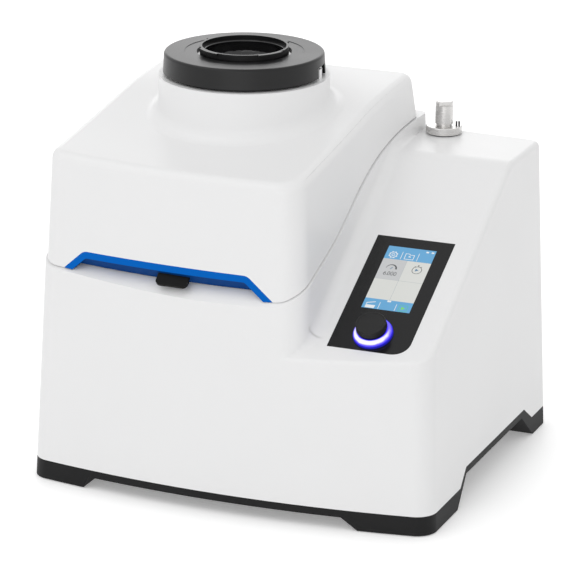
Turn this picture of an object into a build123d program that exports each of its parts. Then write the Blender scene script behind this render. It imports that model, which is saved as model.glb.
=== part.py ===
"""Ultra centrifugal mill for the bench, with a hinged lid, a hopper and a touch console.

Millimetres. The front faces -Y and +Z is up. The origin is the middle of the outline on the bench.
"""
import math
import os

from build123d import *

# Driving sizes of the whole instrument
DEPTH = 398.0
HALF_DEPTH = DEPTH / 2
HALF_WIDTH_AT_BENCH = 221.0
SKIRT_HEIGHT = 12.9
FRONT_LEAN = math.tan(math.radians(4.9))
LEFT_LEAN = 0.026
RIGHT_LEAN = 0.0465
FRONT_BOW_RADIUS = 1163.0
REAR_BOW_RADIUS = 2240.0
WALL = 3.5
FRONT_CORNER = 22.0
REAR_CORNER = 12.0

# Console on the right
CONSOLE_SLOPE = math.radians(28.3)
CONSOLE_POINT_Y = -HALF_DEPTH + 177.7
CONSOLE_POINT_Z = 256.5
PLATEAU_Z = 315.5
PLATEAU_BLEND = 55.0
CONSOLE_EDGE = 6.0
CONSOLE_START_X = 30.0

# Block under the lid
BLOCK_RIGHT_X = 80.3
BLOCK_RIGHT_Z = 235.0
BLOCK_RIGHT_LEAN = 0.055
BLOCK_CORNER = 28.0
SEAM_SHARES = (
    (-0.925, 216.0),
    (-0.864, 228.0),
    (-0.754, 238.5),
    (-0.568, 250.5),
    (-0.382, 263.5),
    (-0.106, 290.0),
    (0.186, 314.0),
    (0.412, 324.5),
    (0.653, 330.0),
    (1.106, 331.0),
)
SEAM = tuple((share * HALF_DEPTH, z) for share, z in SEAM_SHARES)
SEAM_TILT = 0.027

# Lid
LID_STEP = 2.2
LID_GAP = 1.3
LID_WALL = 3.0
LID_TOP_SHARES = (
    (-1.156, 335.0),
    (-0.854, 342.0),
    (-0.372, 355.0),
    (0.0, 366.5),
    (0.246, 374.0),
    (0.503, 378.5),
    (0.839, 381.5),
)
LID_TOP = tuple((share * HALF_DEPTH, z) for share, z in LID_TOP_SHARES)
LID_REAR_Y = HALF_DEPTH - 19.0
LID_TOP_EDGE = 11.0
LID_CORNER_REAR = 16.0
COLLAR_RADIUS = 88.6
COLLAR_FOOT_RADIUS = 89.6
COLLAR_TOP_Z = 404.5
COLLAR_FILLET = 16.0
MOUTH_RADIUS = 66.0

# Axis of the grinding chamber, the spindle and the hopper
AXIS_X = -58.6
AXIS_Y = 5.5

# Base tray
BORDER_Z = 20.6
ARCH_TOP_Z = 37.5
ARCH_Z = 30.3
LEG_Z = 1.0
TRAY_FLOOR = 4.0
LEG_FROM_FRONT = 100.4
LEG_FROM_REAR = 57.0
FOOT_X = HALF_WIDTH_AT_BENCH - 41.0
FOOT_FRONT_Y = -HALF_DEPTH + 49.0
FOOT_REAR_Y = HALF_DEPTH - 33.0
FOOT_SPOTS = tuple((x, y) for y in (FOOT_FRONT_Y, FOOT_REAR_Y) for x in (-FOOT_X, FOOT_X))


def block(x0, x1, y0, y1, z0, z1):
    """Box between two corners."""
    return Pos((x0 + x1) / 2, (y0 + y1) / 2, (z0 + z1) / 2) * Box(x1 - x0, y1 - y0, z1 - z0)


def disc(x, y, z0, z1, radius, bore=0.0):
    """Upright cylinder, or a tube when it has a bore."""
    body = Pos(x, y, (z0 + z1) / 2) * Cylinder(radius, z1 - z0)
    if bore:
        body -= Pos(x, y, (z0 + z1) / 2) * Cylinder(bore, z1 - z0 + 1)
    return body


def side_prism(face, x0=-300.0, x1=300.0):
    """Stretch a face drawn in the YZ plane from x0 to x1."""
    return extrude(Plane.YZ.offset(x0) * face, amount=x1 - x0)


def front_prism(face, y0=-300.0, y1=300.0):
    """Stretch a face drawn in the XZ plane from y0 to y1."""
    return extrude(Plane.XZ.offset(-y0) * face, amount=y0 - y1)


def polygon(*points):
    """Face inside a closed run of straight lines."""
    return make_face(Polyline(*points, close=True))


def front_y(x, z, inset=0.0):
    """Where the bowed and leaning front face is."""
    bow = FRONT_BOW_RADIUS - math.sqrt(FRONT_BOW_RADIUS ** 2 - x ** 2)
    return -DEPTH / 2 + (z - SKIRT_HEIGHT) * FRONT_LEAN + bow + inset


def left_x(z, inset=0.0):
    """Left wall of the body."""
    return -(HALF_WIDTH_AT_BENCH - z * LEFT_LEAN - inset)


def right_x(z, inset=0.0):
    """Right wall of the body."""
    return HALF_WIDTH_AT_BENCH - z * RIGHT_LEAN - inset


def block_right_x(z, inset=0.0):
    """Right wall of the block under the lid."""
    return BLOCK_RIGHT_X - (z - BLOCK_RIGHT_Z) * BLOCK_RIGHT_LEAN - inset


def between_front_and_rear(inset):
    """Everything behind the front face and before the rear face."""
    low, high, reach = -20.0, 460.0, 300.0
    run = high - low
    side = front_y(reach, low, inset)
    arc = ThreePointArc((-reach, side), (0, front_y(0, low, inset)), (reach, side))
    back = Polyline((reach, side), (reach, 400), (-reach, 400), (-reach, side))
    front = Pos(0, 0, low) * make_face([arc, back])
    front = extrude(front, amount=run * math.hypot(1, FRONT_LEAN), dir=(0, FRONT_LEAN, 1))
    rear_mid = DEPTH / 2 - inset
    rear_end = rear_mid - REAR_BOW_RADIUS + math.sqrt(REAR_BOW_RADIUS ** 2 - reach ** 2)
    arc = ThreePointArc((-reach, rear_end), (0, rear_mid), (reach, rear_end))
    back = Polyline((reach, rear_end), (reach, -300), (-reach, -300), (-reach, rear_end))
    rear = extrude(Pos(0, 0, low) * make_face([arc, back]), amount=run)
    return front & rear


def wall_section(right_side, inset, low=-20.0, high=460.0):
    """Region between the left wall and a right wall, as seen from the front."""
    return front_prism(polygon(
        (left_x(low, inset), low),
        (right_side(low, inset), low),
        (right_side(high, inset), high),
        (left_x(high, inset), high),
    ))


def console_prism(drop):
    """Region under the sloped console and the plateau, as seen from the side."""
    lift = drop / math.cos(CONSOLE_SLOPE)
    top = PLATEAU_Z - drop
    slope = math.tan(CONSOLE_SLOPE)
    bend_y = CONSOLE_POINT_Y + (top + lift - CONSOLE_POINT_Z) / slope
    start = (-260.0, CONSOLE_POINT_Z - lift + (-260.0 - CONSOLE_POINT_Y) * slope)
    face = polygon(start, (bend_y, top), (260.0, top), (260.0, -20.0), (-260.0, -20.0))
    bend = face.vertices().sort_by_distance((bend_y, top, 0))[0]
    return side_prism(fillet(bend, PLATEAU_BLEND - drop))


def seam_curve(shift):
    """Line along which the lid meets the body, moved up by shift."""
    return Spline(*[(y, z + shift) for y, z in SEAM])


def seam_prism(shift):
    """Region under the surface between the lid and the body, which falls towards the left."""
    first, last = SEAM[0], SEAM[-1]
    rest = Polyline(
        (last[0], last[1] + shift),
        (last[0], -20.0),
        (-260.0, -20.0),
        (-260.0, 150.0),
        (first[0], first[1] + shift),
    )
    face = Pos(0, -(300 + BLOCK_RIGHT_X) * SEAM_TILT) * make_face([seam_curve(shift), rest])
    run = 600 * math.hypot(1, SEAM_TILT)
    return extrude(Plane.YZ.offset(-300) * face, amount=run, dir=(1, 0, SEAM_TILT))


def edge_at(shape, x, y, z):
    """Edge of a shape that passes nearest to a point."""
    return shape.edges().sort_by_distance((x, y, z))[0]


def housing_solid(inset):
    """Outer or inner form of the housing; inset draws every face inwards."""
    room = between_front_and_rear(inset)
    z = 120.0
    console = room & wall_section(right_x, inset) & console_prism(inset)
    console &= block(CONSOLE_START_X, 300, -300, 300, -50, 460)
    console = fillet([
        edge_at(console, right_x(z, inset), front_y(right_x(z, inset), z, inset), z),
    ], FRONT_CORNER - inset)
    console = fillet([
        edge_at(console, right_x(z, inset), rear_y(right_x(z, inset), inset), z),
    ], REAR_CORNER - inset)
    tower = room & wall_section(block_right_x, inset) & seam_prism(-inset / math.cos(CONSOLE_SLOPE))
    z = 190.0
    tower = fillet([
        edge_at(tower, block_right_x(z, inset), front_y(block_right_x(z, inset), z, inset), z),
    ], BLOCK_CORNER - inset)
    tower = fillet([
        edge_at(tower, block_right_x(300, inset), rear_y(block_right_x(300, inset), inset), 300),
    ], REAR_CORNER - inset)
    if inset == 0.0:
        console = soften_console(console)
    body = console + tower
    x = left_x(z, inset)
    body = fillet([edge_at(body, x, front_y(x, z, inset), z)], FRONT_CORNER - inset)
    return fillet([edge_at(body, x, rear_y(x, inset), z)], REAR_CORNER - inset)


def rear_y(x, inset=0.0):
    """Where the bowed rear face is."""
    return DEPTH / 2 - inset - REAR_BOW_RADIUS + math.sqrt(REAR_BOW_RADIUS ** 2 - x ** 2)


def soften_console(console):
    """Round the ridge between the front face and the sloped console."""
    x = 60.0
    slope = math.tan(CONSOLE_SLOPE)
    foot_y = front_y(x, 0.0)
    ridge_z = (CONSOLE_POINT_Z + (foot_y - CONSOLE_POINT_Y) * slope) / (1 - FRONT_LEAN * slope)
    return fillet([edge_at(console, x, front_y(x, ridge_z), ridge_z)], CONSOLE_EDGE)


# Base tray and what stands in it

def under_line(points, low=-60.0):
    """Region under a run of straight lines, as seen from the side."""
    first, last = points[0], points[-1]
    return side_prism(polygon(*points, (last[0], low), (first[0], low)))


def border_line(shift=0.0):
    """Line between the white housing and the black tray, from front to rear."""
    return (
        (-260, BORDER_Z + shift),
        (-HALF_DEPTH + LEG_FROM_FRONT + 9.6, BORDER_Z + shift),
        (-HALF_DEPTH + LEG_FROM_FRONT + 28.6, ARCH_TOP_Z + shift),
        (HALF_DEPTH - LEG_FROM_REAR - 27.0, ARCH_TOP_Z + shift),
        (HALF_DEPTH - LEG_FROM_REAR - 2.0, BORDER_Z + shift),
        (260, BORDER_Z + shift),
    )


def tray_underside(shift=0.0):
    """Lower line of the tray: a leg, the side arch and a leg."""
    return (
        (-260, LEG_Z + shift),
        (-HALF_DEPTH + LEG_FROM_FRONT, LEG_Z + shift),
        (-HALF_DEPTH + LEG_FROM_FRONT + 28.6, ARCH_Z + shift),
        (HALF_DEPTH - LEG_FROM_REAR - 35.0, ARCH_Z + shift),
        (HALF_DEPTH - LEG_FROM_REAR, LEG_Z + shift),
        (260, LEG_Z + shift),
    )


def make_base_tray(outer, inner):
    """Black tray with four legs; screw posts stand above the feet."""
    skirt = front_prism(polygon((-158, -5), (-149.7, SKIRT_HEIGHT), (130, SKIRT_HEIGHT), (156, -5)))
    skirt_inside = front_prism(polygon(
        (-172, -5),
        (-155, SKIRT_HEIGHT + TRAY_FLOOR),
        (135, SKIRT_HEIGHT + TRAY_FLOOR),
        (170, -5),
    ))
    tray = (outer & under_line(border_line())) - under_line(tray_underside()) - skirt
    tray -= inner - under_line(tray_underside(TRAY_FLOOR)) - skirt_inside
    for x, y in FOOT_SPOTS:
        tray += disc(x, y, LEG_Z, BORDER_Z, 16.0) & outer
    for x, y in FOOT_SPOTS:
        tray -= disc(x, y, -1, 3, FOOT_RADIUS + 0.1)
        tray -= disc(x, y, -1, 8, SCREW_HEAD_RADIUS + 0.3)
        tray -= disc(x, y, -1, 30, SCREW_RADIUS + 0.2)
    return tray


FOOT_RADIUS = 14.0
SCREW_RADIUS = 2.0
SCREW_HEAD_RADIUS = 3.8


def make_rubber_feet():
    """Four round feet, pushed into the legs around the base screws."""
    feet = []
    for x, y in FOOT_SPOTS:
        feet.append(disc(x, y, 0, 3, FOOT_RADIUS, SCREW_HEAD_RADIUS + 0.3))
    return Compound(children=feet)


def make_base_screws():
    """Four screws that join the tray and the housing."""
    screws = []
    for x, y in FOOT_SPOTS:
        screws.append(disc(x, y, 4.5, 8, SCREW_HEAD_RADIUS) + disc(x, y, 8, 36, SCREW_RADIUS))
    return Compound(children=screws)


# Housing

def make_housing_shell(outer, inner):
    """White housing, open below, with every opening that the other pieces need."""
    shell = outer - under_line(border_line()) - (inner & block(-300, 300, -300, REAR_INNER_Y, -60, 460))
    for x, y in FOOT_SPOTS:
        side = 40 if x > 0 else -40
        lug = disc(x, y, BORDER_Z, 44, 8.0)
        lug += block(min(x, x + side), max(x, x + side), y - 3, y + 3, BORDER_Z, 44)
        shell += (lug & outer) - disc(x, y, 0, 40, SCREW_RADIUS + 0.1)
    shell -= disc(AXIS_X, AXIS_Y, 180, 340, BOWL_RADIUS + 0.4)
    shell -= block(*STRIKER_SLOT_X, *STRIKER_SLOT_Y, 200, 270)
    shell -= block(-REAR_WINDOW_X, REAR_WINDOW_X, REAR_INNER_Y - 30, REAR_INNER_Y + 30, *REAR_WINDOW_Z)
    shell -= PANEL_PLANE * on_panel(panel_face(0.15), -GLASS_RECESS, 6)
    shell -= PANEL_PLANE * on_panel(screen_face(1.0), -20, 2)
    shell -= PANEL_PLANE * Pos(*KNOB_SPOT, -8) * Cylinder(SHAFT_HOLE, 30)
    shell -= disc(*POST_SPOT, 300, 320, STUD_RADIUS + 0.15)
    for x in HINGE_X:
        for side in (-1, 1):
            shell -= disc(x + side * BRACKET_SCREW_X, BRACKET_SCREW_Y, 315, 335, SCREW_RADIUS + 0.1)
    for x, z in REAR_SCREWS:
        shell -= Pos(x, REAR_INNER_Y, z) * Rot(90, 0, 0) * Cylinder(SCREW_RADIUS + 0.1, 12)
    return shell


REAR_INNER_Y = HALF_DEPTH - 12.0
REAR_WINDOW_X = 140.0
REAR_WINDOW_Z = (50.0, 290.0)
REAR_SCREWS = tuple((x, z) for x in (-146.0, 0.0, 146.0) for z in (44.0, 296.0))
STRIKER_Y = -HALF_DEPTH + 59.0
STRIKER_SLOT_X = (-72.0, -46.0)
STRIKER_SLOT_Y = (STRIKER_Y - 16.0, STRIKER_Y + 5.0)


# Panel on the console: glass, screen, light ring and knob

PANEL_CORNER_X = 101.9
PANEL_WIDTH = 83.5
PANEL_LENGTH = 159.8
PANEL_ROUND = 17.0
SCREEN_WIDTH = 51.3
SCREEN_LENGTH = 89.0
SCREEN_LEFT = 16.7
SCREEN_TOP = 13.4
GLASS_RECESS = 1.8
GLASS_THICK = 2.0
GLASS_TOP = GLASS_THICK - GLASS_RECESS
KNOB_SPOT = (41.4, -136.5)
KNOB_RADIUS = 15.8
KNOB_TOP_RADIUS = 15.3
KNOB_TOP = 16.4
KNOB_CAP_LOW = 10.5
KNOB_NECK_RADIUS = 13.5
KNOB_RIM = 1.2
KNOB_DISH = 0.4
KNOB_GAP = 1.6
RING_OUTER = 20.3
RING_INNER = 14.3
RING_LOW = -0.8
RING_EDGE = 1.2
RING_TOP = 7.0
RING_TOP_RADIUS = 16.0
RING_SHOULDER = (19.0, 5.0)
SHAFT_RADIUS = 3.0
SHAFT_HOLE = 3.6
PANEL_PLANE = Plane(
    origin=(PANEL_CORNER_X, CONSOLE_POINT_Y, CONSOLE_POINT_Z),
    x_dir=(1, 0, 0),
    z_dir=(0, -math.sin(CONSOLE_SLOPE), math.cos(CONSOLE_SLOPE)),
)


def on_panel(face, low, high):
    """Stretch a face drawn on the panel from low to high above the console surface."""
    return extrude(Pos(0, 0, low) * face, amount=high - low)


def panel_face(grow=0.0):
    """Outline of the glass; only the lower right corner is round."""
    right, bottom = PANEL_WIDTH + grow, -PANEL_LENGTH - grow
    face = polygon((-grow, grow), (right, grow), (right, bottom), (-grow, bottom))
    corner = face.vertices().sort_by_distance((right, bottom, 0))[0]
    return fillet(corner, PANEL_ROUND + grow)


def screen_face(grow=0.0):
    """Outline of the screen."""
    centre = (SCREEN_LEFT + SCREEN_WIDTH / 2, -SCREEN_TOP - SCREEN_LENGTH / 2)
    return Pos(*centre) * Rectangle(SCREEN_WIDTH + 2 * grow, SCREEN_LENGTH + 2 * grow)


def knob_tube(low, high, radius, bore=0.0):
    """Round piece standing on the knob's place of the panel."""
    return PANEL_PLANE * disc(*KNOB_SPOT, low, high, radius, bore)


def make_panel_glass():
    """Black glass set into the console, with a groove for the light ring and a hole for the shaft."""
    glass = PANEL_PLANE * on_panel(panel_face(), -GLASS_RECESS, GLASS_TOP)
    glass -= knob_tube(-GLASS_RECESS - 1, 2, SHAFT_HOLE)
    return glass - knob_tube(RING_LOW, 2, RING_OUTER + 0.1, RING_INNER - 0.1)


def make_light_ring():
    """Translucent collar that glows around the neck of the knob, domed towards its top."""
    dome = ThreePointArc((RING_OUTER, RING_EDGE), RING_SHOULDER, (RING_TOP_RADIUS, RING_TOP))
    rest = Polyline(
        (RING_TOP_RADIUS, RING_TOP),
        (RING_INNER, RING_TOP),
        (RING_INNER, RING_LOW),
        (RING_OUTER, RING_LOW),
        (RING_OUTER, RING_EDGE),
    )
    return PANEL_PLANE * Pos(*KNOB_SPOT) * revolve(Plane.XZ * make_face([dome, rest]), Axis.Z)


def make_display_module():
    """Screen behind the glass, in a frame that sits against the inside of the console."""
    screen = on_panel(screen_face(0.7), -WALL, -GLASS_RECESS)
    frame = on_panel(screen_face(6.0), -WALL - 9, -WALL)
    return PANEL_PLANE * (screen + frame)


def make_encoder():
    """Square housing of the turning and pushing switch behind the knob."""
    body = PANEL_PLANE * Pos(*KNOB_SPOT, -WALL - 6) * Box(24, 24, 12)
    return body - knob_tube(-WALL - 10, 2, SHAFT_RADIUS + 0.05)


def make_encoder_shaft():
    """Shaft that carries the knob and is pushed in with it; a collar keeps the knob on its height."""
    return knob_tube(-WALL - 8, KNOB_TOP - 2.5, SHAFT_RADIUS)


def make_knob():
    """Turned knob: a narrow neck in the light ring under a wide cap with a shallow dish on top."""
    outline = polygon(
        (SHAFT_RADIUS + 0.05, GLASS_TOP + KNOB_GAP),
        (KNOB_NECK_RADIUS, GLASS_TOP + KNOB_GAP),
        (KNOB_NECK_RADIUS, KNOB_CAP_LOW),
        (KNOB_RADIUS, KNOB_CAP_LOW),
        (KNOB_TOP_RADIUS, KNOB_TOP),
        (KNOB_TOP_RADIUS - KNOB_RIM, KNOB_TOP),
        (KNOB_TOP_RADIUS - KNOB_RIM - KNOB_DISH, KNOB_TOP - KNOB_DISH),
        (0, KNOB_TOP - KNOB_DISH),
        (0, KNOB_TOP - 2.4),
        (SHAFT_RADIUS + 0.05, KNOB_TOP - 2.4),
    )
    outline = fillet(outline.vertices().sort_by_distance((KNOB_TOP_RADIUS, KNOB_TOP, 0))[0], 0.6)
    return PANEL_PLANE * Pos(*KNOB_SPOT) * revolve(Plane.XZ * outline, Axis.Z)


# Stand post on the plateau

POST_SPOT = (101.0, HALF_DEPTH - 23.5)
POST_RADIUS = 9.55
POST_TOP_Z = 351.0
POST_LOW_Z = 326.4
TIP_LOW_Z = 345.8
TIP_RADIUS = 9.3
FLANGE_RADIUS = 19.45
GASKET_RADIUS = 17.5
GASKET_TOP_Z = 316.8
FLANGE_TOP_Z = 324.4
NECK_UNDERCUT = 1.2
STUD_RADIUS = 5.0
FLAT_DEPTH = 2.9
FLAT_LOW_Z = 346.5
FLAT_TURN = 30.0


def make_post_gasket():
    """Dark gasket under the flange."""
    return disc(*POST_SPOT, PLATEAU_Z, GASKET_TOP_Z, GASKET_RADIUS, STUD_RADIUS + 0.15)


def make_stand_post():
    """Steel post: flange, undercut neck, a tip with a milled flat, and a stud through the housing."""
    x, y = POST_SPOT
    flange = disc(x, y, GASKET_TOP_Z, FLANGE_TOP_Z, FLANGE_RADIUS)
    flange = chamfer(flange.edges().group_by(Axis.Z)[-1], 0.8)
    neck = disc(x, y, FLANGE_TOP_Z, POST_LOW_Z, POST_RADIUS - NECK_UNDERCUT)
    post = disc(x, y, POST_LOW_Z, TIP_LOW_Z, POST_RADIUS)
    tip = disc(x, y, TIP_LOW_Z, POST_TOP_Z, TIP_RADIUS)
    tip = chamfer(tip.edges().group_by(Axis.Z)[-1], 1.2)
    flat = block(-12, 12, -24, FLAT_DEPTH - TIP_RADIUS, FLAT_LOW_Z, POST_TOP_Z + 1)
    tip -= Pos(x, y) * Rot(0, 0, FLAT_TURN) * flat
    return flange + neck + post + tip + disc(x, y, 296, GASKET_TOP_Z, STUD_RADIUS)


def make_post_nut():
    """Nut that holds the post from inside."""
    x, y = POST_SPOT
    low, high = PLATEAU_Z - WALL - 8, PLATEAU_Z - WALL
    nut = extrude(Pos(x, y, low) * RegularPolygon(9.0, 6), amount=high - low)
    return nut - disc(x, y, low - 1, high + 1, STUD_RADIUS + 0.05)


# Lid

HANDLE_TOP_Z = 247.5
HANDLE_FACE_Z = 240.5
HANDLE_DEPTH = 12.0
HANDLE_CORNER = 12.0
FEED_TUBE_RADIUS = 60.0
FEED_TUBE_BORE = 56.0
LINER_LOW = 6.0
LINER_THICK = 3.0
TAB_X = -59.2
TAB_WIDTH = 34.5
TAB_HEIGHT = 13.0
TAB_THICK = 3.0
TAB_CORNER = 5.0


def lid_profile(wall):
    """Side view of everything under the top of the lid; wall draws top and rear inwards."""
    first, last = LID_TOP[0], LID_TOP[-1]
    seam_z = SEAM[-1][1]
    top = Spline(*[(y, z - wall) for y, z in LID_TOP])
    rest = Polyline(
        (last[0], last[1] - wall),
        (300, last[1] - wall),
        (300, 100),
        (-280, 100),
        (-280, 330),
        (first[0], first[1] - wall),
    )
    lean = (last[0] - LID_REAR_Y) / (last[1] - seam_z)
    behind = polygon(
        (LID_REAR_Y - wall + 60 * lean, seam_z + 60),
        (310, seam_z + 60),
        (310, seam_z - 40),
        (LID_REAR_Y - wall - 40 * lean, seam_z - 40),
    )
    return make_face([top, rest]) - behind


def lid_solid(inset, gap, wall):
    """Outer or inner form of the lid without its collar."""
    depth = LID_STEP + inset
    body = between_front_and_rear(depth) & wall_section(block_right_x, depth)
    body &= side_prism(lid_profile(wall))
    z = 280.0
    corners = (
        (block_right_x(z, depth), front_y(block_right_x(z, depth), z, depth), BLOCK_CORNER),
        (left_x(z, depth), front_y(left_x(z, depth), z, depth), FRONT_CORNER),
    )
    for x, y, radius in corners:
        body = fillet([edge_at(body, x, y, z)], radius - depth)
    rear_y0, rear_z = LID_REAR_Y - 5.0 - wall, 350.0
    for side in (block_right_x, left_x):
        body = fillet([edge_at(body, side(rear_z, depth), rear_y0, rear_z)], LID_CORNER_REAR - inset)
    return body - seam_prism(gap)


def make_lid_outer():
    """Outer form of the lid with rounded top edges and the collar that carries the hopper."""
    body = lid_solid(0.0, LID_GAP, 0.0)
    z = 342.0
    body = fillet([edge_at(body, -60, front_y(-60, z, LID_STEP), z)], LID_TOP_EDGE)
    collar = Pos(AXIS_X, AXIS_Y) * revolve(Plane.XZ * polygon(
        (0, 340),
        (COLLAR_FOOT_RADIUS, 340),
        (COLLAR_RADIUS, COLLAR_TOP_Z),
        (0, COLLAR_TOP_Z),
    ), Axis.Z)
    body += collar
    return fillet([edge_at(body, AXIS_X, AXIS_Y - COLLAR_FOOT_RADIUS, 352)], COLLAR_FILLET)


def handle_notch(border=0.0):
    """Region of the lid's front that the handle takes up, or what its band leaves free inside."""
    face = polygon(
        (-217, 180),
        (-185, 228),
        (-163, HANDLE_TOP_Z),
        (22, HANDLE_TOP_Z),
        (53, 221.5),
        (93, 180),
    )
    tops = face.vertices().sort_by(Axis.Y)[-2:]
    face = fillet(tops, HANDLE_CORNER)
    if border:
        face = offset(face, -border)
    return front_prism(face, -260, -100)


def front_layer(near, far):
    """Layer between two depths behind the bowed front face."""
    return between_front_and_rear(near) - between_front_and_rear(far)


def handle_undercut():
    """Region in front of the underside of the handle, which runs inwards and down at 45 degrees."""
    reach = 300.0
    edge = front_y(0, HANDLE_FACE_Z, LID_STEP)
    side = front_y(reach, HANDLE_FACE_Z, LID_STEP)
    arc = ThreePointArc((-reach, side), (0, edge), (reach, side))
    front = Polyline((reach, side), (reach, -400), (-reach, -400), (-reach, side))
    face = Pos(0, 0, HANDLE_FACE_Z) * make_face([arc, front])
    return extrude(face, amount=60 * math.sqrt(2), dir=(0, 1, -1))


def make_lid_shell(lid_outer, lid_inner):
    """White lid, open below, with the mouth for the hopper in its collar and the notch for the handle."""
    collar_room = disc(AXIS_X, AXIS_Y, 300, COLLAR_TOP_Z - LID_WALL, COLLAR_RADIUS - LID_WALL)
    shell = lid_outer - lid_inner - collar_room
    shell -= disc(AXIS_X, AXIS_Y, COLLAR_TOP_Z - 24, COLLAR_TOP_Z + 16, MOUTH_RADIUS)
    shell -= handle_notch()
    for x, y in LINER_SCREWS:
        shell += disc(x, y, 300, 380, 6.0) & lid_inner & over_seam(LINER_LOW + LINER_THICK)
    for x, y in LINER_SCREWS:
        shell -= disc(x, y, 200, seam_z(y) + 26, SCREW_RADIUS + 0.1)
    shell += stop_tooth()
    return shell


LINER_SCREW_Y = (-HALF_DEPTH + 89.0, HALF_DEPTH - 69.0)
LINER_SCREWS = tuple((x, y) for y in LINER_SCREW_Y for x in (-180.0, 45.0))
LINER_HOLE = FEED_TUBE_RADIUS + 0.5


def over_seam(shift):
    """Everything higher than the seam moved up by shift."""
    return block(-300, 300, -260, SEAM[-1][0] - 1, 150, 460) - seam_prism(shift)


def seam_z(y):
    """Height of the seam at a depth, along the straight runs between its points."""
    for (y0, z0), (y1, z1) in zip(SEAM, SEAM[1:]):
        if y0 <= y <= y1:
            return z0 + (z1 - z0) * (y - y0) / (y1 - y0)
    return SEAM[-1][1]


def stop_tooth():
    """Small tooth on the collar that keeps the hopper from turning."""
    low, high = COLLAR_TOP_Z, COLLAR_TOP_Z + 11
    tooth = disc(AXIS_X, AXIS_Y, low, high, TOOTH_RADIUS, TOOTH_RADIUS - 3)
    return tooth & Pos(AXIS_X, AXIS_Y) * Rot(0, 0, TOOTH_ANGLE) * block(70, 90, -4, 4, low - 1, high + 1)


TOOTH_RADIUS = 83.0
TOOTH_ANGLE = 4.0


def make_lid_handle(lid_outer):
    """Blue handle: a band along the notch and, inside it, an underside for the fingers."""
    body = lid_outer & handle_notch() & front_layer(LID_STEP, LID_STEP + HANDLE_DEPTH)
    band = body - handle_notch(HANDLE_TOP_Z - HANDLE_FACE_Z)
    return (body - handle_undercut()) + band


def make_latch_tab():
    """Black finger tab under the middle of the handle."""
    top_z = HANDLE_FACE_Z - 3.7
    plane = Plane(origin=(TAB_X, front_y(0, top_z, 8.0), top_z), x_dir=(1, 0, 0), z_dir=(0, -1, 1.05))
    face = Pos(0, -TAB_HEIGHT / 2) * Rectangle(TAB_WIDTH, TAB_HEIGHT)
    face = fillet(face.vertices().sort_by(Axis.Y)[:2], TAB_CORNER)
    return extrude(plane * face, amount=TAB_THICK / 2, both=True) & handle_undercut()


def make_lid_liner(lid_inner):
    """Plate that closes the lid from below, with the hole for the feed tube."""
    liner = lid_inner & over_seam(LINER_LOW)
    liner &= seam_prism(LINER_LOW + LINER_THICK)
    liner &= block(-300, 300, -400, LID_REAR_Y - 8, 0, 460)
    liner &= between_front_and_rear(LID_STEP + HANDLE_DEPTH + 0.3)
    liner &= wall_section(block_right_x, LID_STEP + LID_WALL + 0.2)
    liner -= disc(AXIS_X, AXIS_Y, 200, 400, LINER_HOLE)
    for x, y in LINER_SCREWS:
        liner -= disc(x, y, 200, 400, SCREW_RADIUS + 0.1)
    return liner


def make_liner_screws(liner):
    """Four screws that hold the liner to the posts of the lid."""
    screws = []
    for x, y in LINER_SCREWS:
        low = (disc(x, y, 200, 400, 5.0) & liner).bounding_box().min.Z
        head = disc(x, y, low - 2.5, low, SCREW_HEAD_RADIUS)
        screws.append(head + disc(x, y, low, low + 18, SCREW_RADIUS))
    return Compound(children=screws)


def make_feed_tube():
    """Tube that guides the hopper and presses the cassette down when the lid is closed."""
    roof = COLLAR_TOP_Z - LID_WALL
    flange = disc(AXIS_X, AXIS_Y, roof - 3, roof, COLLAR_RADIUS - LID_WALL - 0.4, MOUTH_RADIUS)
    neck = disc(AXIS_X, AXIS_Y, roof - 8, roof - 3, MOUTH_RADIUS + 3, FEED_TUBE_BORE)
    return disc(AXIS_X, AXIS_Y, FEED_TUBE_LOW, roof - 8, FEED_TUBE_RADIUS, FEED_TUBE_BORE) + neck + flange


FEED_TUBE_LOW = 218.5


def make_press_seal():
    """Elastic ring at the lower end of the feed tube."""
    return disc(AXIS_X, AXIS_Y, FEED_TUBE_LOW - 2.0, FEED_TUBE_LOW, FEED_TUBE_RADIUS, FEED_TUBE_BORE)


# Hinges behind the lid

HINGE_X = (-150.0, 12.0)
HINGE_Y = HALF_DEPTH - 10.0
HINGE_Z = 338.5
KNUCKLE_RADIUS = 6.0
PIN_RADIUS = 2.5
LEAF_HALF = 9.5
KNUCKLE_GAP = 0.4
BRACKET_HALF = 21.0
BRACKET_SCREW_X = 15.5
BRACKET_SCREW_Y = HINGE_Y + 1.0


def knuckle(x0, x1, bore):
    """Barrel of a hinge between two places along X."""
    middle = Pos((x0 + x1) / 2, HINGE_Y, HINGE_Z) * Rot(0, 90, 0)
    return middle * Cylinder(KNUCKLE_RADIUS, x1 - x0) - middle * Cylinder(bore, x1 - x0 + 1)


def make_hinge_brackets(outer):
    """Two brackets on the housing, each with two knuckles; they grip the pins."""
    parts = []
    for x in HINGE_X:
        for side in (-1, 1):
            x0, x1 = sorted((x + side * (LEAF_HALF + KNUCKLE_GAP), x + side * BRACKET_HALF))
            foot = block(x0, x1, HINGE_Y - 5, HINGE_Y + 6, SEAM[-1][1] - 14, HINGE_Z)
            bore = Pos((x0 + x1) / 2, HINGE_Y, HINGE_Z) * Rot(0, 90, 0) * Cylinder(PIN_RADIUS, x1 - x0 + 1)
            parts.append((foot - bore - outer) + knuckle(x0, x1, PIN_RADIUS))
    return Compound(children=parts)


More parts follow.
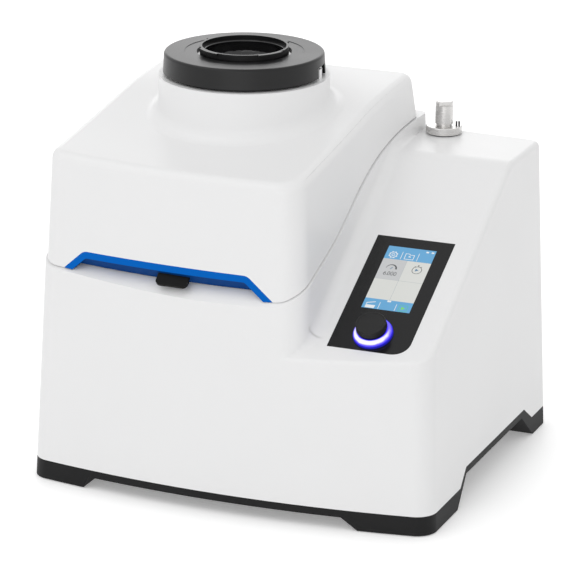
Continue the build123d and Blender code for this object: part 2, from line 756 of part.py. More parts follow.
def make_hinge_leaves(lid_outer):
    """Two leaves on the rear wall of the lid, each with one knuckle that turns on the pin."""
    bore = PIN_RADIUS + 0.05
    parts = []
    for x in HINGE_X:
        low, near = HINGE_Z - 3, HINGE_Y - 29
        arm = block(x - LEAF_HALF, x + LEAF_HALF, near, HINGE_Y, low, HINGE_Z + KNUCKLE_RADIUS)
        arm += block(x - LEAF_HALF, x + LEAF_HALF, near, HINGE_Y - 9, low, HINGE_Z + 16)
        arm -= Pos(x, HINGE_Y, HINGE_Z) * Rot(0, 90, 0) * Cylinder(bore, 60)
        parts.append((arm - lid_outer) + knuckle(x - LEAF_HALF, x + LEAF_HALF, bore))
    return Compound(children=parts)


def make_hinge_pins():
    """Pins of the two hinges."""
    pins = []
    for x in HINGE_X:
        pins.append(Pos(x, HINGE_Y, HINGE_Z) * Rot(0, 90, 0) * Cylinder(PIN_RADIUS, 2 * BRACKET_HALF))
    return Compound(children=pins)


# Lock of the lid

LOCK_X = -59.0
HOOK_PIVOT = (STRIKER_Y + 13.0, 214.0)
HOOK_PIN = 2.5
LOCK_CLEARANCE = 7.5


def make_lid_striker(liner):
    """Plate under the lid with the window that the hook enters."""
    plate = block(LOCK_X - 10, LOCK_X + 10, STRIKER_Y - 2, STRIKER_Y + 2, 217.5, 260) - over_seam(LINER_LOW)
    flange = block(LOCK_X - 10, LOCK_X + 10, STRIKER_Y - 9, STRIKER_Y + 9, 230, 260)
    plate += (flange - over_seam(LINER_LOW)) & over_seam(LINER_LOW - 3)
    return plate - block(LOCK_X - 6, LOCK_X + 6, STRIKER_Y - 10, STRIKER_Y + 10, 221, 235)


def make_lock_hook():
    """Hook that swings forward into the window of the striker."""
    y, z = HOOK_PIVOT
    hook = Pos(LOCK_X, y, z) * Rot(0, 90, 0) * Cylinder(6.0, 8.0)
    hook += block(LOCK_X - 4, LOCK_X + 4, y - 4, y + 4, z, z + 19)
    hook += block(LOCK_X - 4, LOCK_X + 4, y - 9, y + 4, z + 13, z + 19)
    return hook - Pos(LOCK_X, y, z) * Rot(0, 90, 0) * Cylinder(HOOK_PIN + 0.05, 20)


def make_lock_actuator(inner):
    """Housing of the lock motor, under the top wall, with two ears and the pin for the hook."""
    y, z = HOOK_PIVOT
    rear = AXIS_Y - BOWL_RADIUS - LOCK_CLEARANCE
    body = block(LOCK_X - 22, LOCK_X + 22, y + 11, rear, 190, 300) & inner
    ears = []
    for side in (-1, 1):
        x0, x1 = sorted((LOCK_X + side * 4.5, LOCK_X + side * 8.5))
        ears.append(block(x0, x1, y - 6, y + 11, z - 6, z + 6))
    body += ears
    return body + Pos(LOCK_X, y, z) * Rot(0, 90, 0) * Cylinder(HOOK_PIN, 17)


# Hopper

CAP_TOP_Z = COLLAR_TOP_Z + 24.0
CAP_LOW_Z = COLLAR_TOP_Z + 3.0
CAP_LOW_RADIUS = 84.2
CAP_TOP_RADIUS = 82.8
CAP_WALL = 3.0
CAP_STEP_RADIUS = 62.0
CAP_HOLE = 49.2
CAP_EDGE = 3.0
BAYONET_OUTER = 46.0
BAYONET_INNER = 43.6
BAYONET_TOP_Z = CAP_TOP_Z + 5.8
BAYONET_SEAT = 44.4
LUG_OUTER = 48.4
LUG_THICK = 2.1
LUG_SPAN = 36.0
LUG_TURN = 59.0
FUNNEL_FLANGE = 57.0
FUNNEL_RIM_Z = CAP_TOP_Z + 1.0
FUNNEL_RIM_RADIUS = 40.8
FUNNEL_RIM_ROUND = 1.2
CONE_RADIUS = 39.9
CONE_TOP_Z = CAP_TOP_Z - 12.0
CONE_LOW_Z = CAP_TOP_Z - 51.0
NECK_RADIUS = 17.0
NECK_BORE = 14.5
NECK_LOW_Z = 224.0
SPIGOT_RADIUS = 65.5


def turned(*points):
    """Body turned around the axis of the hopper from its half section."""
    return Pos(AXIS_X, AXIS_Y) * revolve(Plane.XZ * polygon(*points), Axis.Z)


def make_hopper_cap():
    """Black cap of the hopper with its skirt, a rib that rests on the seal and a guiding spigot."""
    under = CAP_TOP_Z - CAP_WALL
    cap = turned(
        (CAP_HOLE, under),
        (CAP_HOLE, CAP_TOP_Z - 0.5),
        (CAP_STEP_RADIUS - 0.5, CAP_TOP_Z - 0.5),
        (CAP_STEP_RADIUS, CAP_TOP_Z),
        (CAP_TOP_RADIUS, CAP_TOP_Z),
        (CAP_LOW_RADIUS, CAP_LOW_Z),
        (CAP_LOW_RADIUS - CAP_WALL, CAP_LOW_Z),
        (CAP_LOW_RADIUS - CAP_WALL - 1, under),
        (77, under),
        (77, SEAL_TOP_Z),
        (72, SEAL_TOP_Z),
        (72, under),
        (SPIGOT_RADIUS, under),
        (SPIGOT_RADIUS, COLLAR_TOP_Z - 6),
        (SPIGOT_RADIUS - 3, COLLAR_TOP_Z - 6),
        (SPIGOT_RADIUS - 3, under),
    )
    rim = edge_at(cap, AXIS_X, AXIS_Y - CAP_TOP_RADIUS, CAP_TOP_Z)
    cap = fillet([rim], CAP_EDGE)
    low, high = COLLAR_TOP_Z - 4.5, COLLAR_TOP_Z + 14
    notch = Pos(AXIS_X, AXIS_Y) * Rot(0, 0, TOOTH_ANGLE) * block(79, 90, -9, 15, low, high)
    return cap - notch


SEAL_TOP_Z = COLLAR_TOP_Z + 3.0


def make_hopper_seal():
    """Elastic ring between the hopper and the collar."""
    return disc(AXIS_X, AXIS_Y, COLLAR_TOP_Z, SEAL_TOP_Z, 78.5, 70.0)


def make_hopper_funnel():
    """Glossy funnel: a rim inside the bayonet ring, a flange under the cap, a cone and a long neck."""
    flange_top = CAP_TOP_Z - CAP_WALL
    outside = BAYONET_SEAT - 0.05
    funnel = turned(
        (FUNNEL_RIM_RADIUS, FUNNEL_RIM_Z),
        (outside, FUNNEL_RIM_Z),
        (outside, flange_top),
        (FUNNEL_FLANGE, flange_top),
        (FUNNEL_FLANGE, flange_top - 2.5),
        (outside, flange_top - 2.5),
        (outside, CONE_TOP_Z - 0.5),
        (NECK_RADIUS, CONE_LOW_Z - 1.5),
        (NECK_RADIUS, NECK_LOW_Z),
        (NECK_BORE, NECK_LOW_Z),
        (NECK_BORE, CONE_LOW_Z),
        (CONE_RADIUS, CONE_TOP_Z),
    )
    rim = edge_at(funnel, AXIS_X, AXIS_Y - FUNNEL_RIM_RADIUS, FUNNEL_RIM_Z)
    return fillet([rim], FUNNEL_RIM_ROUND)


def make_bayonet_ring():
    """Raised ring around the mouth; four flat lugs at its top hold a cover that is turned on."""
    low, high = BAYONET_TOP_Z - LUG_THICK, BAYONET_TOP_Z
    ring = disc(AXIS_X, AXIS_Y, CAP_TOP_Z - CAP_WALL, high, BAYONET_OUTER, BAYONET_INNER)
    ring -= disc(AXIS_X, AXIS_Y, CAP_TOP_Z - CAP_WALL - 1, FUNNEL_RIM_Z, BAYONET_SEAT)
    for turn in range(4):
        lug = disc(0, 0, low, high, LUG_OUTER, BAYONET_OUTER - 1)
        start = Rot(0, 0, 90 * turn + LUG_TURN - LUG_SPAN / 2) * block(-60, 60, 0, 60, low - 1, high + 1)
        end = Rot(0, 0, 90 * turn + LUG_TURN + LUG_SPAN / 2) * block(-60, 60, -60, 0, low - 1, high + 1)
        ring += Pos(AXIS_X, AXIS_Y) * (lug & start & end)
    return ring


# Grinding chamber

BOWL_RADIUS = 92.0
BOWL_WALL = 4.0
PLATE_LOW_Z = 152.0
PLATE_TOP_Z = 158.0
BOWL_FLOOR_Z = 162.0
CASSETTE_RADIUS = 80.0
CASSETTE_INNER = 18.0
CASSETTE_WALL = 3.0
CASSETTE_INNER_Z = 174.0
CASSETTE_TOP_Z = 210.0
CASSETTE_LID_TOP_Z = 216.2
SPINDLE_RADIUS = 8.0
SPINDLE_LOW_Z = 58.0
ROTOR_LOW_Z = 181.0
ROTOR_PLATE = 4.0
ROTOR_RADIUS = 49.5
ROTOR_HUB_RADIUS = 14.0
ROTOR_HUB_TOP_Z = 200.0
ROTOR_TEETH = 12
TOOTH_HEIGHT = 20.0
TOOTH_POINT_RADIUS = 40.0
TOOTH_HALF_WIDTH = 4.5
SIEVE_OUTER = 53.4
SIEVE_INNER = 52.0
SIEVE_SLOTS = 36
SLOT_WIDTH = 3.0
SLOT_HEIGHT = 26.0


def chamber_tube(low, high, radius, bore=0.0):
    """Round piece around the axis of the chamber."""
    return disc(AXIS_X, AXIS_Y, low, high, radius, bore)


def around_axis(shape, count, turns=None):
    """Copies of a shape turned evenly around the axis of the chamber."""
    centre = Pos(AXIS_X, AXIS_Y)
    return [centre * Rot(0, 0, index * 360 / count) * shape for index in range(turns or count)]


def make_chamber_bowl():
    """Steel bowl of the grinding chamber; its rim follows the seam."""
    bowl = chamber_tube(PLATE_TOP_Z, 345, BOWL_RADIUS)
    bowl -= chamber_tube(BOWL_FLOOR_Z, 346, BOWL_RADIUS - BOWL_WALL)
    bowl -= chamber_tube(150, 170, SPINDLE_RADIUS + 4)
    return bowl & seam_prism(0.0)


def make_chamber_gasket():
    """Seal on the rim of the bowl."""
    ring = chamber_tube(200, 345, BOWL_RADIUS, BOWL_RADIUS - BOWL_WALL)
    return (ring & seam_prism(LINER_LOW - 0.4)) - seam_prism(0.0)


def make_cassette():
    """Ring-shaped pan that catches the ground sample."""
    floor = BOWL_FLOOR_Z + CASSETTE_WALL
    return turned(
        (CASSETTE_INNER, BOWL_FLOOR_Z),
        (CASSETTE_RADIUS, BOWL_FLOOR_Z),
        (CASSETTE_RADIUS, CASSETTE_TOP_Z),
        (CASSETTE_RADIUS - CASSETTE_WALL, CASSETTE_TOP_Z),
        (CASSETTE_RADIUS - CASSETTE_WALL, floor),
        (CASSETTE_INNER + CASSETTE_WALL, floor),
        (CASSETTE_INNER + CASSETTE_WALL, CASSETTE_INNER_Z),
        (CASSETTE_INNER, CASSETTE_INNER_Z),
    )


def make_cassette_lid():
    """Lid of the cassette with the opening for the feed."""
    rim = CASSETTE_RADIUS + 1.5
    return turned(
        (24, CASSETTE_TOP_Z),
        (rim, CASSETTE_TOP_Z),
        (rim, CASSETTE_TOP_Z + 3.5),
        (62, CASSETTE_LID_TOP_Z),
        (54, CASSETTE_LID_TOP_Z),
        (28, CASSETTE_TOP_Z + 4),
        (24, CASSETTE_TOP_Z + 4),
    )


def make_ring_sieve():
    """Ring sieve around the rotor, with a row of slots."""
    low = BOWL_FLOOR_Z + CASSETTE_WALL
    slot = Pos(0, 0, (low + CASSETTE_TOP_Z) / 2 + 4.5) * Box(2 * SIEVE_OUTER + 2, SLOT_WIDTH, SLOT_HEIGHT)
    sieve = chamber_tube(low, CASSETTE_TOP_Z, SIEVE_OUTER, SIEVE_INNER)
    return sieve - around_axis(slot, SIEVE_SLOTS, SIEVE_SLOTS // 2)


def make_rotor():
    """Rotor with a plate, a hub and a crown of wedge-shaped teeth."""
    top = ROTOR_LOW_Z + ROTOR_PLATE
    rotor = chamber_tube(ROTOR_LOW_Z, top, ROTOR_RADIUS, SPINDLE_RADIUS)
    rotor += chamber_tube(top, ROTOR_HUB_TOP_Z, ROTOR_HUB_RADIUS, SPINDLE_RADIUS)
    rim = ROTOR_RADIUS - 0.4
    wedge = polygon((TOOTH_POINT_RADIUS, 0), (rim, TOOTH_HALF_WIDTH), (rim, -TOOTH_HALF_WIDTH))
    return rotor + around_axis(extrude(Pos(0, 0, top) * wedge, amount=TOOTH_HEIGHT), ROTOR_TEETH)


def make_labyrinth_disc():
    """Disc under the rotor that keeps dust out of the motor."""
    plate_low = ROTOR_LOW_Z - 4
    plate = chamber_tube(plate_low, ROTOR_LOW_Z, 46, SPINDLE_RADIUS)
    return plate + chamber_tube(plate_low - 10, plate_low, 14.5, SPINDLE_RADIUS)


def make_spindle_shaft():
    """Shaft from the lower bearing up to the rotor, ended by the head that clamps the rotor."""
    shaft = chamber_tube(SPINDLE_LOW_Z, ROTOR_HUB_TOP_Z, SPINDLE_RADIUS)
    return shaft + chamber_tube(ROTOR_HUB_TOP_Z, ROTOR_HUB_TOP_Z + 4, SPINDLE_RADIUS + 3)


# Motor under the chamber

MOTOR_RADIUS = 62.0
MOTOR_FIN = 6.0
MOTOR_FINS = 24
MOTOR_WALL = 5.0
MOTOR_LOW_Z = 50.0
MOTOR_SHOULDER_Z = 146.0
STATOR_Z = (72.0, 128.0)
STATOR_BORE = 30.5
MAGNET_RADIUS = 30.0
BEARING_RADIUS = 16.0
BEARING_HEIGHT = 12.0
BEARING_HIGH_Z = 139.0
MOUNT_X = 84.0
MOUNT_Y = 62.0
MOUNT_LOW_Z = 140.0
MOUNT_SPOTS = tuple((AXIS_X + x, AXIS_Y + y) for x in (-MOUNT_X, MOUNT_X) for y in (-MOUNT_Y, MOUNT_Y))


def make_motor_housing():
    """Finned motor housing that hangs from the motor plate."""
    core = MOTOR_RADIUS - MOTOR_FIN
    body = chamber_tube(MOTOR_LOW_Z, MOTOR_SHOULDER_Z, core)
    body += chamber_tube(MOTOR_SHOULDER_Z, PLATE_LOW_Z, MOTOR_RADIUS)
    fin_height = MOTOR_SHOULDER_Z - MOTOR_LOW_Z
    fin = Pos(core, 0, MOTOR_LOW_Z + fin_height / 2) * Box(10, 2.5, fin_height)
    body += around_axis(fin, MOTOR_FINS)
    body -= chamber_tube(MOTOR_LOW_Z + MOTOR_WALL, MOUNT_LOW_Z, core - MOTOR_WALL)
    body -= chamber_tube(BEARING_HIGH_Z, PLATE_LOW_Z + 8, BEARING_RADIUS)
    return body - chamber_tube(MOTOR_LOW_Z + 3, STATOR_Z[0] - 2, BEARING_RADIUS)


def make_motor_stator():
    """Wound stator inside the motor housing."""
    return chamber_tube(*STATOR_Z, MOTOR_RADIUS - MOTOR_FIN - MOTOR_WALL, STATOR_BORE)


def make_motor_rotor():
    """Magnet rotor on the shaft."""
    low, high = STATOR_Z
    return chamber_tube(low + 2, high - 2, MAGNET_RADIUS, SPINDLE_RADIUS)


def make_bearings():
    """Lower and upper ball bearing of the shaft, fixed in the motor housing."""
    bearings = []
    for low in (MOTOR_LOW_Z + MOTOR_WALL, BEARING_HIGH_Z):
        bearings.append(chamber_tube(low, low + BEARING_HEIGHT, BEARING_RADIUS, SPINDLE_RADIUS + 0.05))
    return Compound(children=bearings)


def make_motor_plate():
    """Plate that carries the motor from below and the bowl from above."""
    plate = Pos(AXIS_X, AXIS_Y, (PLATE_LOW_Z + PLATE_TOP_Z) / 2)
    plate *= Box(2 * MOUNT_X + 28, 2 * MOUNT_Y + 36, PLATE_TOP_Z - PLATE_LOW_Z)
    plate -= chamber_tube(PLATE_LOW_Z - 1, PLATE_TOP_Z + 1, BEARING_RADIUS + 2)
    for x, y in MOUNT_SPOTS:
        plate -= disc(x, y, PLATE_LOW_Z - 1, PLATE_TOP_Z + 1, SCREW_RADIUS + 0.1)
    return plate


def make_rubber_mounts():
    """Four rubber mounts under the motor plate."""
    mounts = []
    for x, y in MOUNT_SPOTS:
        mounts.append(disc(x, y, MOUNT_LOW_Z, PLATE_LOW_Z, 10.0, SCREW_RADIUS + 0.1))
    return Compound(children=mounts)


def make_motor_frame():
    """Four columns on two rails that stand on the tray floor."""
    floor = ARCH_Z + TRAY_FLOOR
    rail_half = MOUNT_Y + 10
    frame = Part()
    for x in (AXIS_X - MOUNT_X, AXIS_X + MOUNT_X):
        frame += block(x - 11, x + 11, AXIS_Y - rail_half, AXIS_Y + rail_half, floor, floor + 6)
    for x, y in MOUNT_SPOTS:
        frame += block(x - 9, x + 9, y - 9, y + 9, floor, MOUNT_LOW_Z)
    for x, y in MOUNT_SPOTS:
        frame -= disc(x, y, MOUNT_LOW_Z - 40, MOUNT_LOW_Z + 1, SCREW_RADIUS + 0.1)
    return frame


def make_mount_screws():
    """Four screws through the motor plate and the rubber mounts into the columns."""
    screws = []
    for x, y in MOUNT_SPOTS:
        shank = disc(x, y, MOUNT_LOW_Z - 20, PLATE_TOP_Z, SCREW_RADIUS)
        screws.append(shank + disc(x, y, PLATE_TOP_Z, PLATE_TOP_Z + 3, SCREW_HEAD_RADIUS))
    return Compound(children=screws)


# Electronics

INVERTER_X = (100.0, 180.0)
INVERTER_Y = (-50.0, 75.0)
INVERTER_TOP_Z = 120.0
INVERTER_FINS = 10
FIN_PITCH = 12.5
BOARD_LOW_Z = 128.0
BOARD_THICK = 1.6
BOARD_PARTS = ((120, -20, 14, 14, 3), (155, 20, 20, 20, 4), (125, 40, 12, 24, 10), (160, -25, 10, 16, 8))


def make_frequency_inverter():
    """Inverter for the motor, standing on the tray floor under the console."""
    floor = ARCH_Z + TRAY_FLOOR
    body = block(*INVERTER_X, *INVERTER_Y, floor, INVERTER_TOP_Z)
    for index in range(INVERTER_FINS):
        y = INVERTER_Y[0] + 6 + index * FIN_PITCH
        body += block(INVERTER_X[1], INVERTER_X[1] + 12, y - 2, y + 2, floor + 4, INVERTER_TOP_Z - 4)
    return body


def make_control_board():
    """Control board on four posts on top of the inverter, with its largest components."""
    (left, right), (front, rear) = INVERTER_X, INVERTER_Y
    top = BOARD_LOW_Z + BOARD_THICK
    board = block(left + 4, right - 4, front + 5, rear - 5, BOARD_LOW_Z, top)
    for x in (left + 9, right - 9):
        for y in (front + 10, rear - 10):
            board += disc(x, y, INVERTER_TOP_Z, BOARD_LOW_Z, 3.0)
    for x, y, wide, deep, high in BOARD_PARTS:
        board += block(x - wide / 2, x + wide / 2, y - deep / 2, y + deep / 2, top, top + high)
    return board


# Rear

PANEL_REAR_Y = REAR_INNER_Y
PANEL_FRONT_Y = PANEL_REAR_Y - 2.0
PANEL_MID_Y = PANEL_REAR_Y - 1.0
INLET_SPOT = (100.0, 90.0)
SWITCH_SPOT = (40.0, 90.0)
FAN_SPOT = (AXIS_X, 130.0)
FAN_RADIUS = 36.0
FAN_HALF = 41.0
FAN_DEPTH = 25.0


def make_rear_panel():
    """Steel panel behind the rear opening with air slots and the cut-outs for power."""
    panel = block(-152, 152, PANEL_FRONT_Y, PANEL_REAR_Y, 38, 302)
    slots = []
    for column in (-1, 1):
        for row in range(7):
            z = FAN_SPOT[1] - 30 + row * 10
            slots.append(Pos(FAN_SPOT[0] + column * 17, PANEL_MID_Y, z) * Box(26, 6, 4.5))
    for row in range(6):
        slots.append(Pos(0, PANEL_MID_Y, 240 + row * 8) * Box(160, 6, 3.5))
    panel -= slots
    x, z = INLET_SPOT
    panel -= block(x - 24.2, x + 24.2, PANEL_MID_Y - 5, PANEL_MID_Y + 5, z - 29.2, z + 16.2)
    x, z = SWITCH_SPOT
    panel -= block(x - 14.2, x + 14.2, PANEL_MID_Y - 5, PANEL_MID_Y + 5, z - 12.2, z + 12.2)
    for x, z in REAR_SCREWS:
        panel -= Pos(x, PANEL_MID_Y, z) * Rot(90, 0, 0) * Cylinder(SCREW_RADIUS + 0.1, 6)
    return panel


def make_rear_screws():
    """Six screws that hold the rear panel against the inside of the rear wall."""
    screws = []
    for x, z in REAR_SCREWS:
        head = Pos(x, PANEL_FRONT_Y - 1.5, z) * Rot(90, 0, 0) * Cylinder(SCREW_HEAD_RADIUS, 3)
        screws.append(head + Pos(x, PANEL_FRONT_Y + 2.5, z) * Rot(90, 0, 0) * Cylinder(SCREW_RADIUS, 5))
    return Compound(children=screws)


def make_mains_inlet():
    """Appliance inlet with three pins and the bay of the fuse drawer below."""
    x, z = INLET_SPOT
    rear = PANEL_REAR_Y
    body = block(x - 24, x + 24, rear - 32, rear, z - 29, z + 16)
    body += block(x - 28, x + 28, rear, rear + 2.5, z - 32, z + 19)
    body -= block(x - 13.5, x + 13.5, rear - 15, rear + 8, z - 9, z + 9)
    body -= block(x - 14.5, x + 14.5, rear - 25, rear + 8, z - 26, z - 14)
    for dx, dz in ((0, 3), (-7, -2), (7, -2)):
        body += block(x + dx - 1, x + dx + 1, rear - 17, rear - 1, z + dz - 2, z + dz + 2)
    return body


def make_fuse_drawer():
    """Drawer with the two fuses, pulled out to the rear."""
    x, z = INLET_SPOT
    drawer = block(x - 14, x + 14, PANEL_REAR_Y - 23, PANEL_REAR_Y + 4, z - 25.5, z - 14.5)
    return drawer - block(x - 12, x + 12, PANEL_REAR_Y - 21, PANEL_REAR_Y - 1, z - 22, z - 10)


def make_switch_frame():
    """Frame of the mains switch."""
    x, z = SWITCH_SPOT
    frame = block(x - 14, x + 14, PANEL_REAR_Y - 21, PANEL_REAR_Y, z - 12, z + 12)
    frame += block(x - 17, x + 17, PANEL_REAR_Y, PANEL_REAR_Y + 2, z - 15, z + 15)
    frame -= block(x - 11, x + 11, PANEL_REAR_Y - 17, PANEL_REAR_Y + 13, z - 10.3, z + 10.3)
    return frame - Pos(x, ROCKER_Y, z) * Rot(0, 90, 0) * Cylinder(ROCKER_PIN + 0.05, 26)


ROCKER_Y = PANEL_REAR_Y - 4.0
ROCKER_PIN = 1.5
ROCKER_TILT = 8.0


def make_switch_rocker():
    """Rocker of the mains switch in its off position, with its two pins."""
    x, z = SWITCH_SPOT
    face = polygon((-6, -8.3), (6.5, -8.3), (4.2, 0), (6.5, 8.3), (-6, 8.3))
    rocker = extrude(Plane.YZ * face, amount=10.5, both=True)
    rocker += Rot(0, 90, 0) * Cylinder(ROCKER_PIN, 25)
    return Pos(x, ROCKER_Y, z) * Rot(ROCKER_TILT, 0, 0) * rocker


def make_fan_housing():
    """Square frame of the cooling fan, against the inside of the rear panel."""
    x, z = FAN_SPOT
    y0 = PANEL_FRONT_Y - FAN_DEPTH
    frame = block(x - FAN_HALF, x + FAN_HALF, y0, PANEL_FRONT_Y, z - FAN_HALF, z + FAN_HALF)
    frame -= Pos(x, y0 + FAN_DEPTH / 2, z) * Rot(90, 0, 0) * Cylinder(FAN_RADIUS + 2, FAN_DEPTH + 2)
    for turn in range(2):
        frame += Pos(x, y0 + 1.5, z) * Rot(0, 90 * turn + 45, 0) * Box(2 * FAN_RADIUS + 5, 3, 4)
    frame += Pos(x, y0 + 1.5, z) * Rot(90, 0, 0) * Cylinder(15, 3)
    return frame + Pos(x, y0 + 8, z) * Rot(90, 0, 0) * Cylinder(3, 12)


def make_fan_rotor():
    """Hub and seven blades of the cooling fan."""
    x, z = FAN_SPOT
    y0 = PANEL_FRONT_Y - FAN_DEPTH
    hub = Pos(x, y0 + 14, z) * Rot(90, 0, 0) * Cylinder(15, 18)
    blade = Pos(25, 0, 0) * Rot(35, 0, 0) * Box(22, 1.6, 17)
    blades = []
    for index in range(7):
        blades.append(Pos(x, y0 + 14, z) * Rot(0, index * 360 / 7, 0) * blade)
    rotor = hub + blades
    return rotor - Pos(x, y0 + 9, z) * Rot(90, 0, 0) * Cylinder(3.05, 11)


def build_parts():
    """Build every piece and return them by name."""
    outer = housing_solid(0.0)
    inner = housing_solid(WALL)
    lid_outer = make_lid_outer()
    lid_inner = lid_solid(LID_WALL, LID_GAP - 6, LID_WALL)
    liner = make_lid_liner(lid_inner)
    return {
        "base_tray": make_base_tray(outer, inner),
        "rubber_feet": make_rubber_feet(),
        "base_screws": make_base_screws(),
        "housing_shell": make_housing_shell(outer, inner),
        "panel_glass": make_panel_glass(),
        "light_ring": make_light_ring(),
        "display_module": make_display_module(),
        "encoder": make_encoder(),
        "encoder_shaft": make_encoder_shaft(),
        "knob": make_knob(),
        "post_gasket": make_post_gasket(),
        "stand_post": make_stand_post(),
        "post_nut": make_post_nut(),
        "lid_shell": make_lid_shell(lid_outer, lid_inner),
        "lid_handle": make_lid_handle(lid_outer),
        "latch_tab": make_latch_tab(),
        "lid_liner": liner,
        "liner_screws": make_liner_screws(liner),
        "feed_tube": make_feed_tube(),
        "press_seal": make_press_seal(),
        "hinge_brackets": make_hinge_brackets(outer),
        "hinge_leaves": make_hinge_leaves(lid_outer),
        "hinge_pins": make_hinge_pins(),
        "lid_striker": make_lid_striker(liner),
        "lock_hook": make_lock_hook(),
        "lock_actuator": make_lock_actuator(inner),
        "hopper_cap": make_hopper_cap(),
        "hopper_seal": make_hopper_seal(),
        "hopper_funnel": make_hopper_funnel(),
        "bayonet_ring": make_bayonet_ring(),
        "chamber_bowl": make_chamber_bowl(),
        "chamber_gasket": make_chamber_gasket(),
        "cassette": make_cassette(),
        "cassette_lid": make_cassette_lid(),
        "ring_sieve": make_ring_sieve(),
        "rotor": make_rotor(),
        "labyrinth_disc": make_labyrinth_disc(),
        "spindle_shaft": make_spindle_shaft(),
        "motor_housing": make_motor_housing(),
        "motor_stator": make_motor_stator(),
        "motor_rotor": make_motor_rotor(),
        "bearings": make_bearings(),
        "motor_plate": make_motor_plate(),
        "rubber_mounts": make_rubber_mounts(),
        "motor_frame": make_motor_frame(),
        "mount_screws": make_mount_screws(),
        "frequency_inverter": make_frequency_inverter(),
        "control_board": make_control_board(),
        "rear_panel": make_rear_panel(),
        "rear_screws": make_rear_screws(),
        "mains_inlet": make_mains_inlet(),
        "fuse_drawer": make_fuse_drawer(),
        "switch_frame": make_switch_frame(),
        "switch_rocker": make_switch_rocker(),
        "fan_housing": make_fan_housing(),
        "fan_rotor": make_fan_rotor(),
    }


if __name__ == "__main__":
    os.makedirs("parts", exist_ok=True)
    for name, shape in build_parts().items():
        export_step(shape, f"parts/{name}.step")
        print(name, len(shape.solids()), round(shape.volume))
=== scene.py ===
"""Looks of the ultra centrifugal mill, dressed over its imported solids.

Every length is in metres and in the frame of the solids: the front faces -Y, +Z is up.
"""

import logging
import math
from dataclasses import dataclass
from enum import Enum
from typing import Iterable, Sequence, Union

import bmesh
import bpy
from mathutils import Matrix, Vector


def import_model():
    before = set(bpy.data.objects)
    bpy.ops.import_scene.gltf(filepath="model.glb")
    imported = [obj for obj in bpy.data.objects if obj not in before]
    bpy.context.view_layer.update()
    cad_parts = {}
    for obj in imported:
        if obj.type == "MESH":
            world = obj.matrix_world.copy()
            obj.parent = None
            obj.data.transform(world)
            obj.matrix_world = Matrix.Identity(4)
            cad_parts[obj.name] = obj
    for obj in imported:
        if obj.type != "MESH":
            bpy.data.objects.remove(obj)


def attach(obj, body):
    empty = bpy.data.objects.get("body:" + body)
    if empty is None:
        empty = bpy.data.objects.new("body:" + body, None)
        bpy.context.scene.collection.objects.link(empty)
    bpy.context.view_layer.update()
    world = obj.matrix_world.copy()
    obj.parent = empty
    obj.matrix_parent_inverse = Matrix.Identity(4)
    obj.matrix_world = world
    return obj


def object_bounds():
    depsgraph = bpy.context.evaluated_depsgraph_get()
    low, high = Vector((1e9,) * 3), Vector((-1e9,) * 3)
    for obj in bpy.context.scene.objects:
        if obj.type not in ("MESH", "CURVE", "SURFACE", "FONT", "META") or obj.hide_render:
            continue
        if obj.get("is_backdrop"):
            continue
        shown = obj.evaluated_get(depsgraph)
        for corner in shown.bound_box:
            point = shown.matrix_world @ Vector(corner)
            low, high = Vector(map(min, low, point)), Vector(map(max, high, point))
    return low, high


LOG = logging.getLogger("mill")
MM = 0.001
Colour = tuple[float, float, float]
Point = tuple[float, float, float]
Run = list[tuple[float, float]]


# Shader maths

class Shade:
    """A number in a shader that can be used in plain arithmetic."""

    def __init__(self, board: "Board", socket: bpy.types.NodeSocket) -> None:
        """Wrap a socket.

        Args:
            board: The board whose tree holds the socket.
            socket: An output socket that carries a number.
        """
        self.board = board
        self.socket = socket

    def _join(self, operation: str, first: "Value", second: "Value" = 0.0) -> "Shade":
        """Add a Math node.

        Args:
            operation: Name of the operation.
            first: Value of the first input.
            second: Value of the second input.

        Returns:
            The result as a new value.
        """
        node = self.board.node("ShaderNodeMath", {"operation": operation}, {0: first, 1: second})
        return Shade(self.board, node.outputs[0])

    def __add__(self, other: "Value") -> "Shade":
        """Sum."""
        return self._join("ADD", self, other)

    def __sub__(self, other: "Value") -> "Shade":
        """Difference."""
        return self._join("SUBTRACT", self, other)

    def __rsub__(self, other: "Value") -> "Shade":
        """Difference with the number first."""
        return self._join("SUBTRACT", other, self)

    def __mul__(self, other: "Value") -> "Shade":
        """Product."""
        return self._join("MULTIPLY", self, other)

    def __truediv__(self, other: "Value") -> "Shade":
        """Quotient."""
        return self._join("DIVIDE", self, other)

    def __gt__(self, other: "Value") -> "Shade":
        """One where the value is greater, else zero."""
        return self._join("GREATER_THAN", self, other)

    def __lt__(self, other: "Value") -> "Shade":
        """One where the value is smaller, else zero."""
        return self._join("LESS_THAN", self, other)

    def __abs__(self) -> "Shade":
        """Size without its sign."""
        return self._join("ABSOLUTE", self)

    def sine(self) -> "Shade":
        """Sine of the value."""
        return self._join("SINE", self)

    def turn(self, other: "Shade") -> "Shade":
        """Angle of the point (other, self) around the origin."""
        return self._join("ARCTAN2", self, other)

    def root(self) -> "Shade":
        """Square root of the value."""
        return self._join("SQRT", self)


Value = Union[Shade, float]
Link = Union[Shade, bpy.types.NodeSocket, float, Sequence[float]]


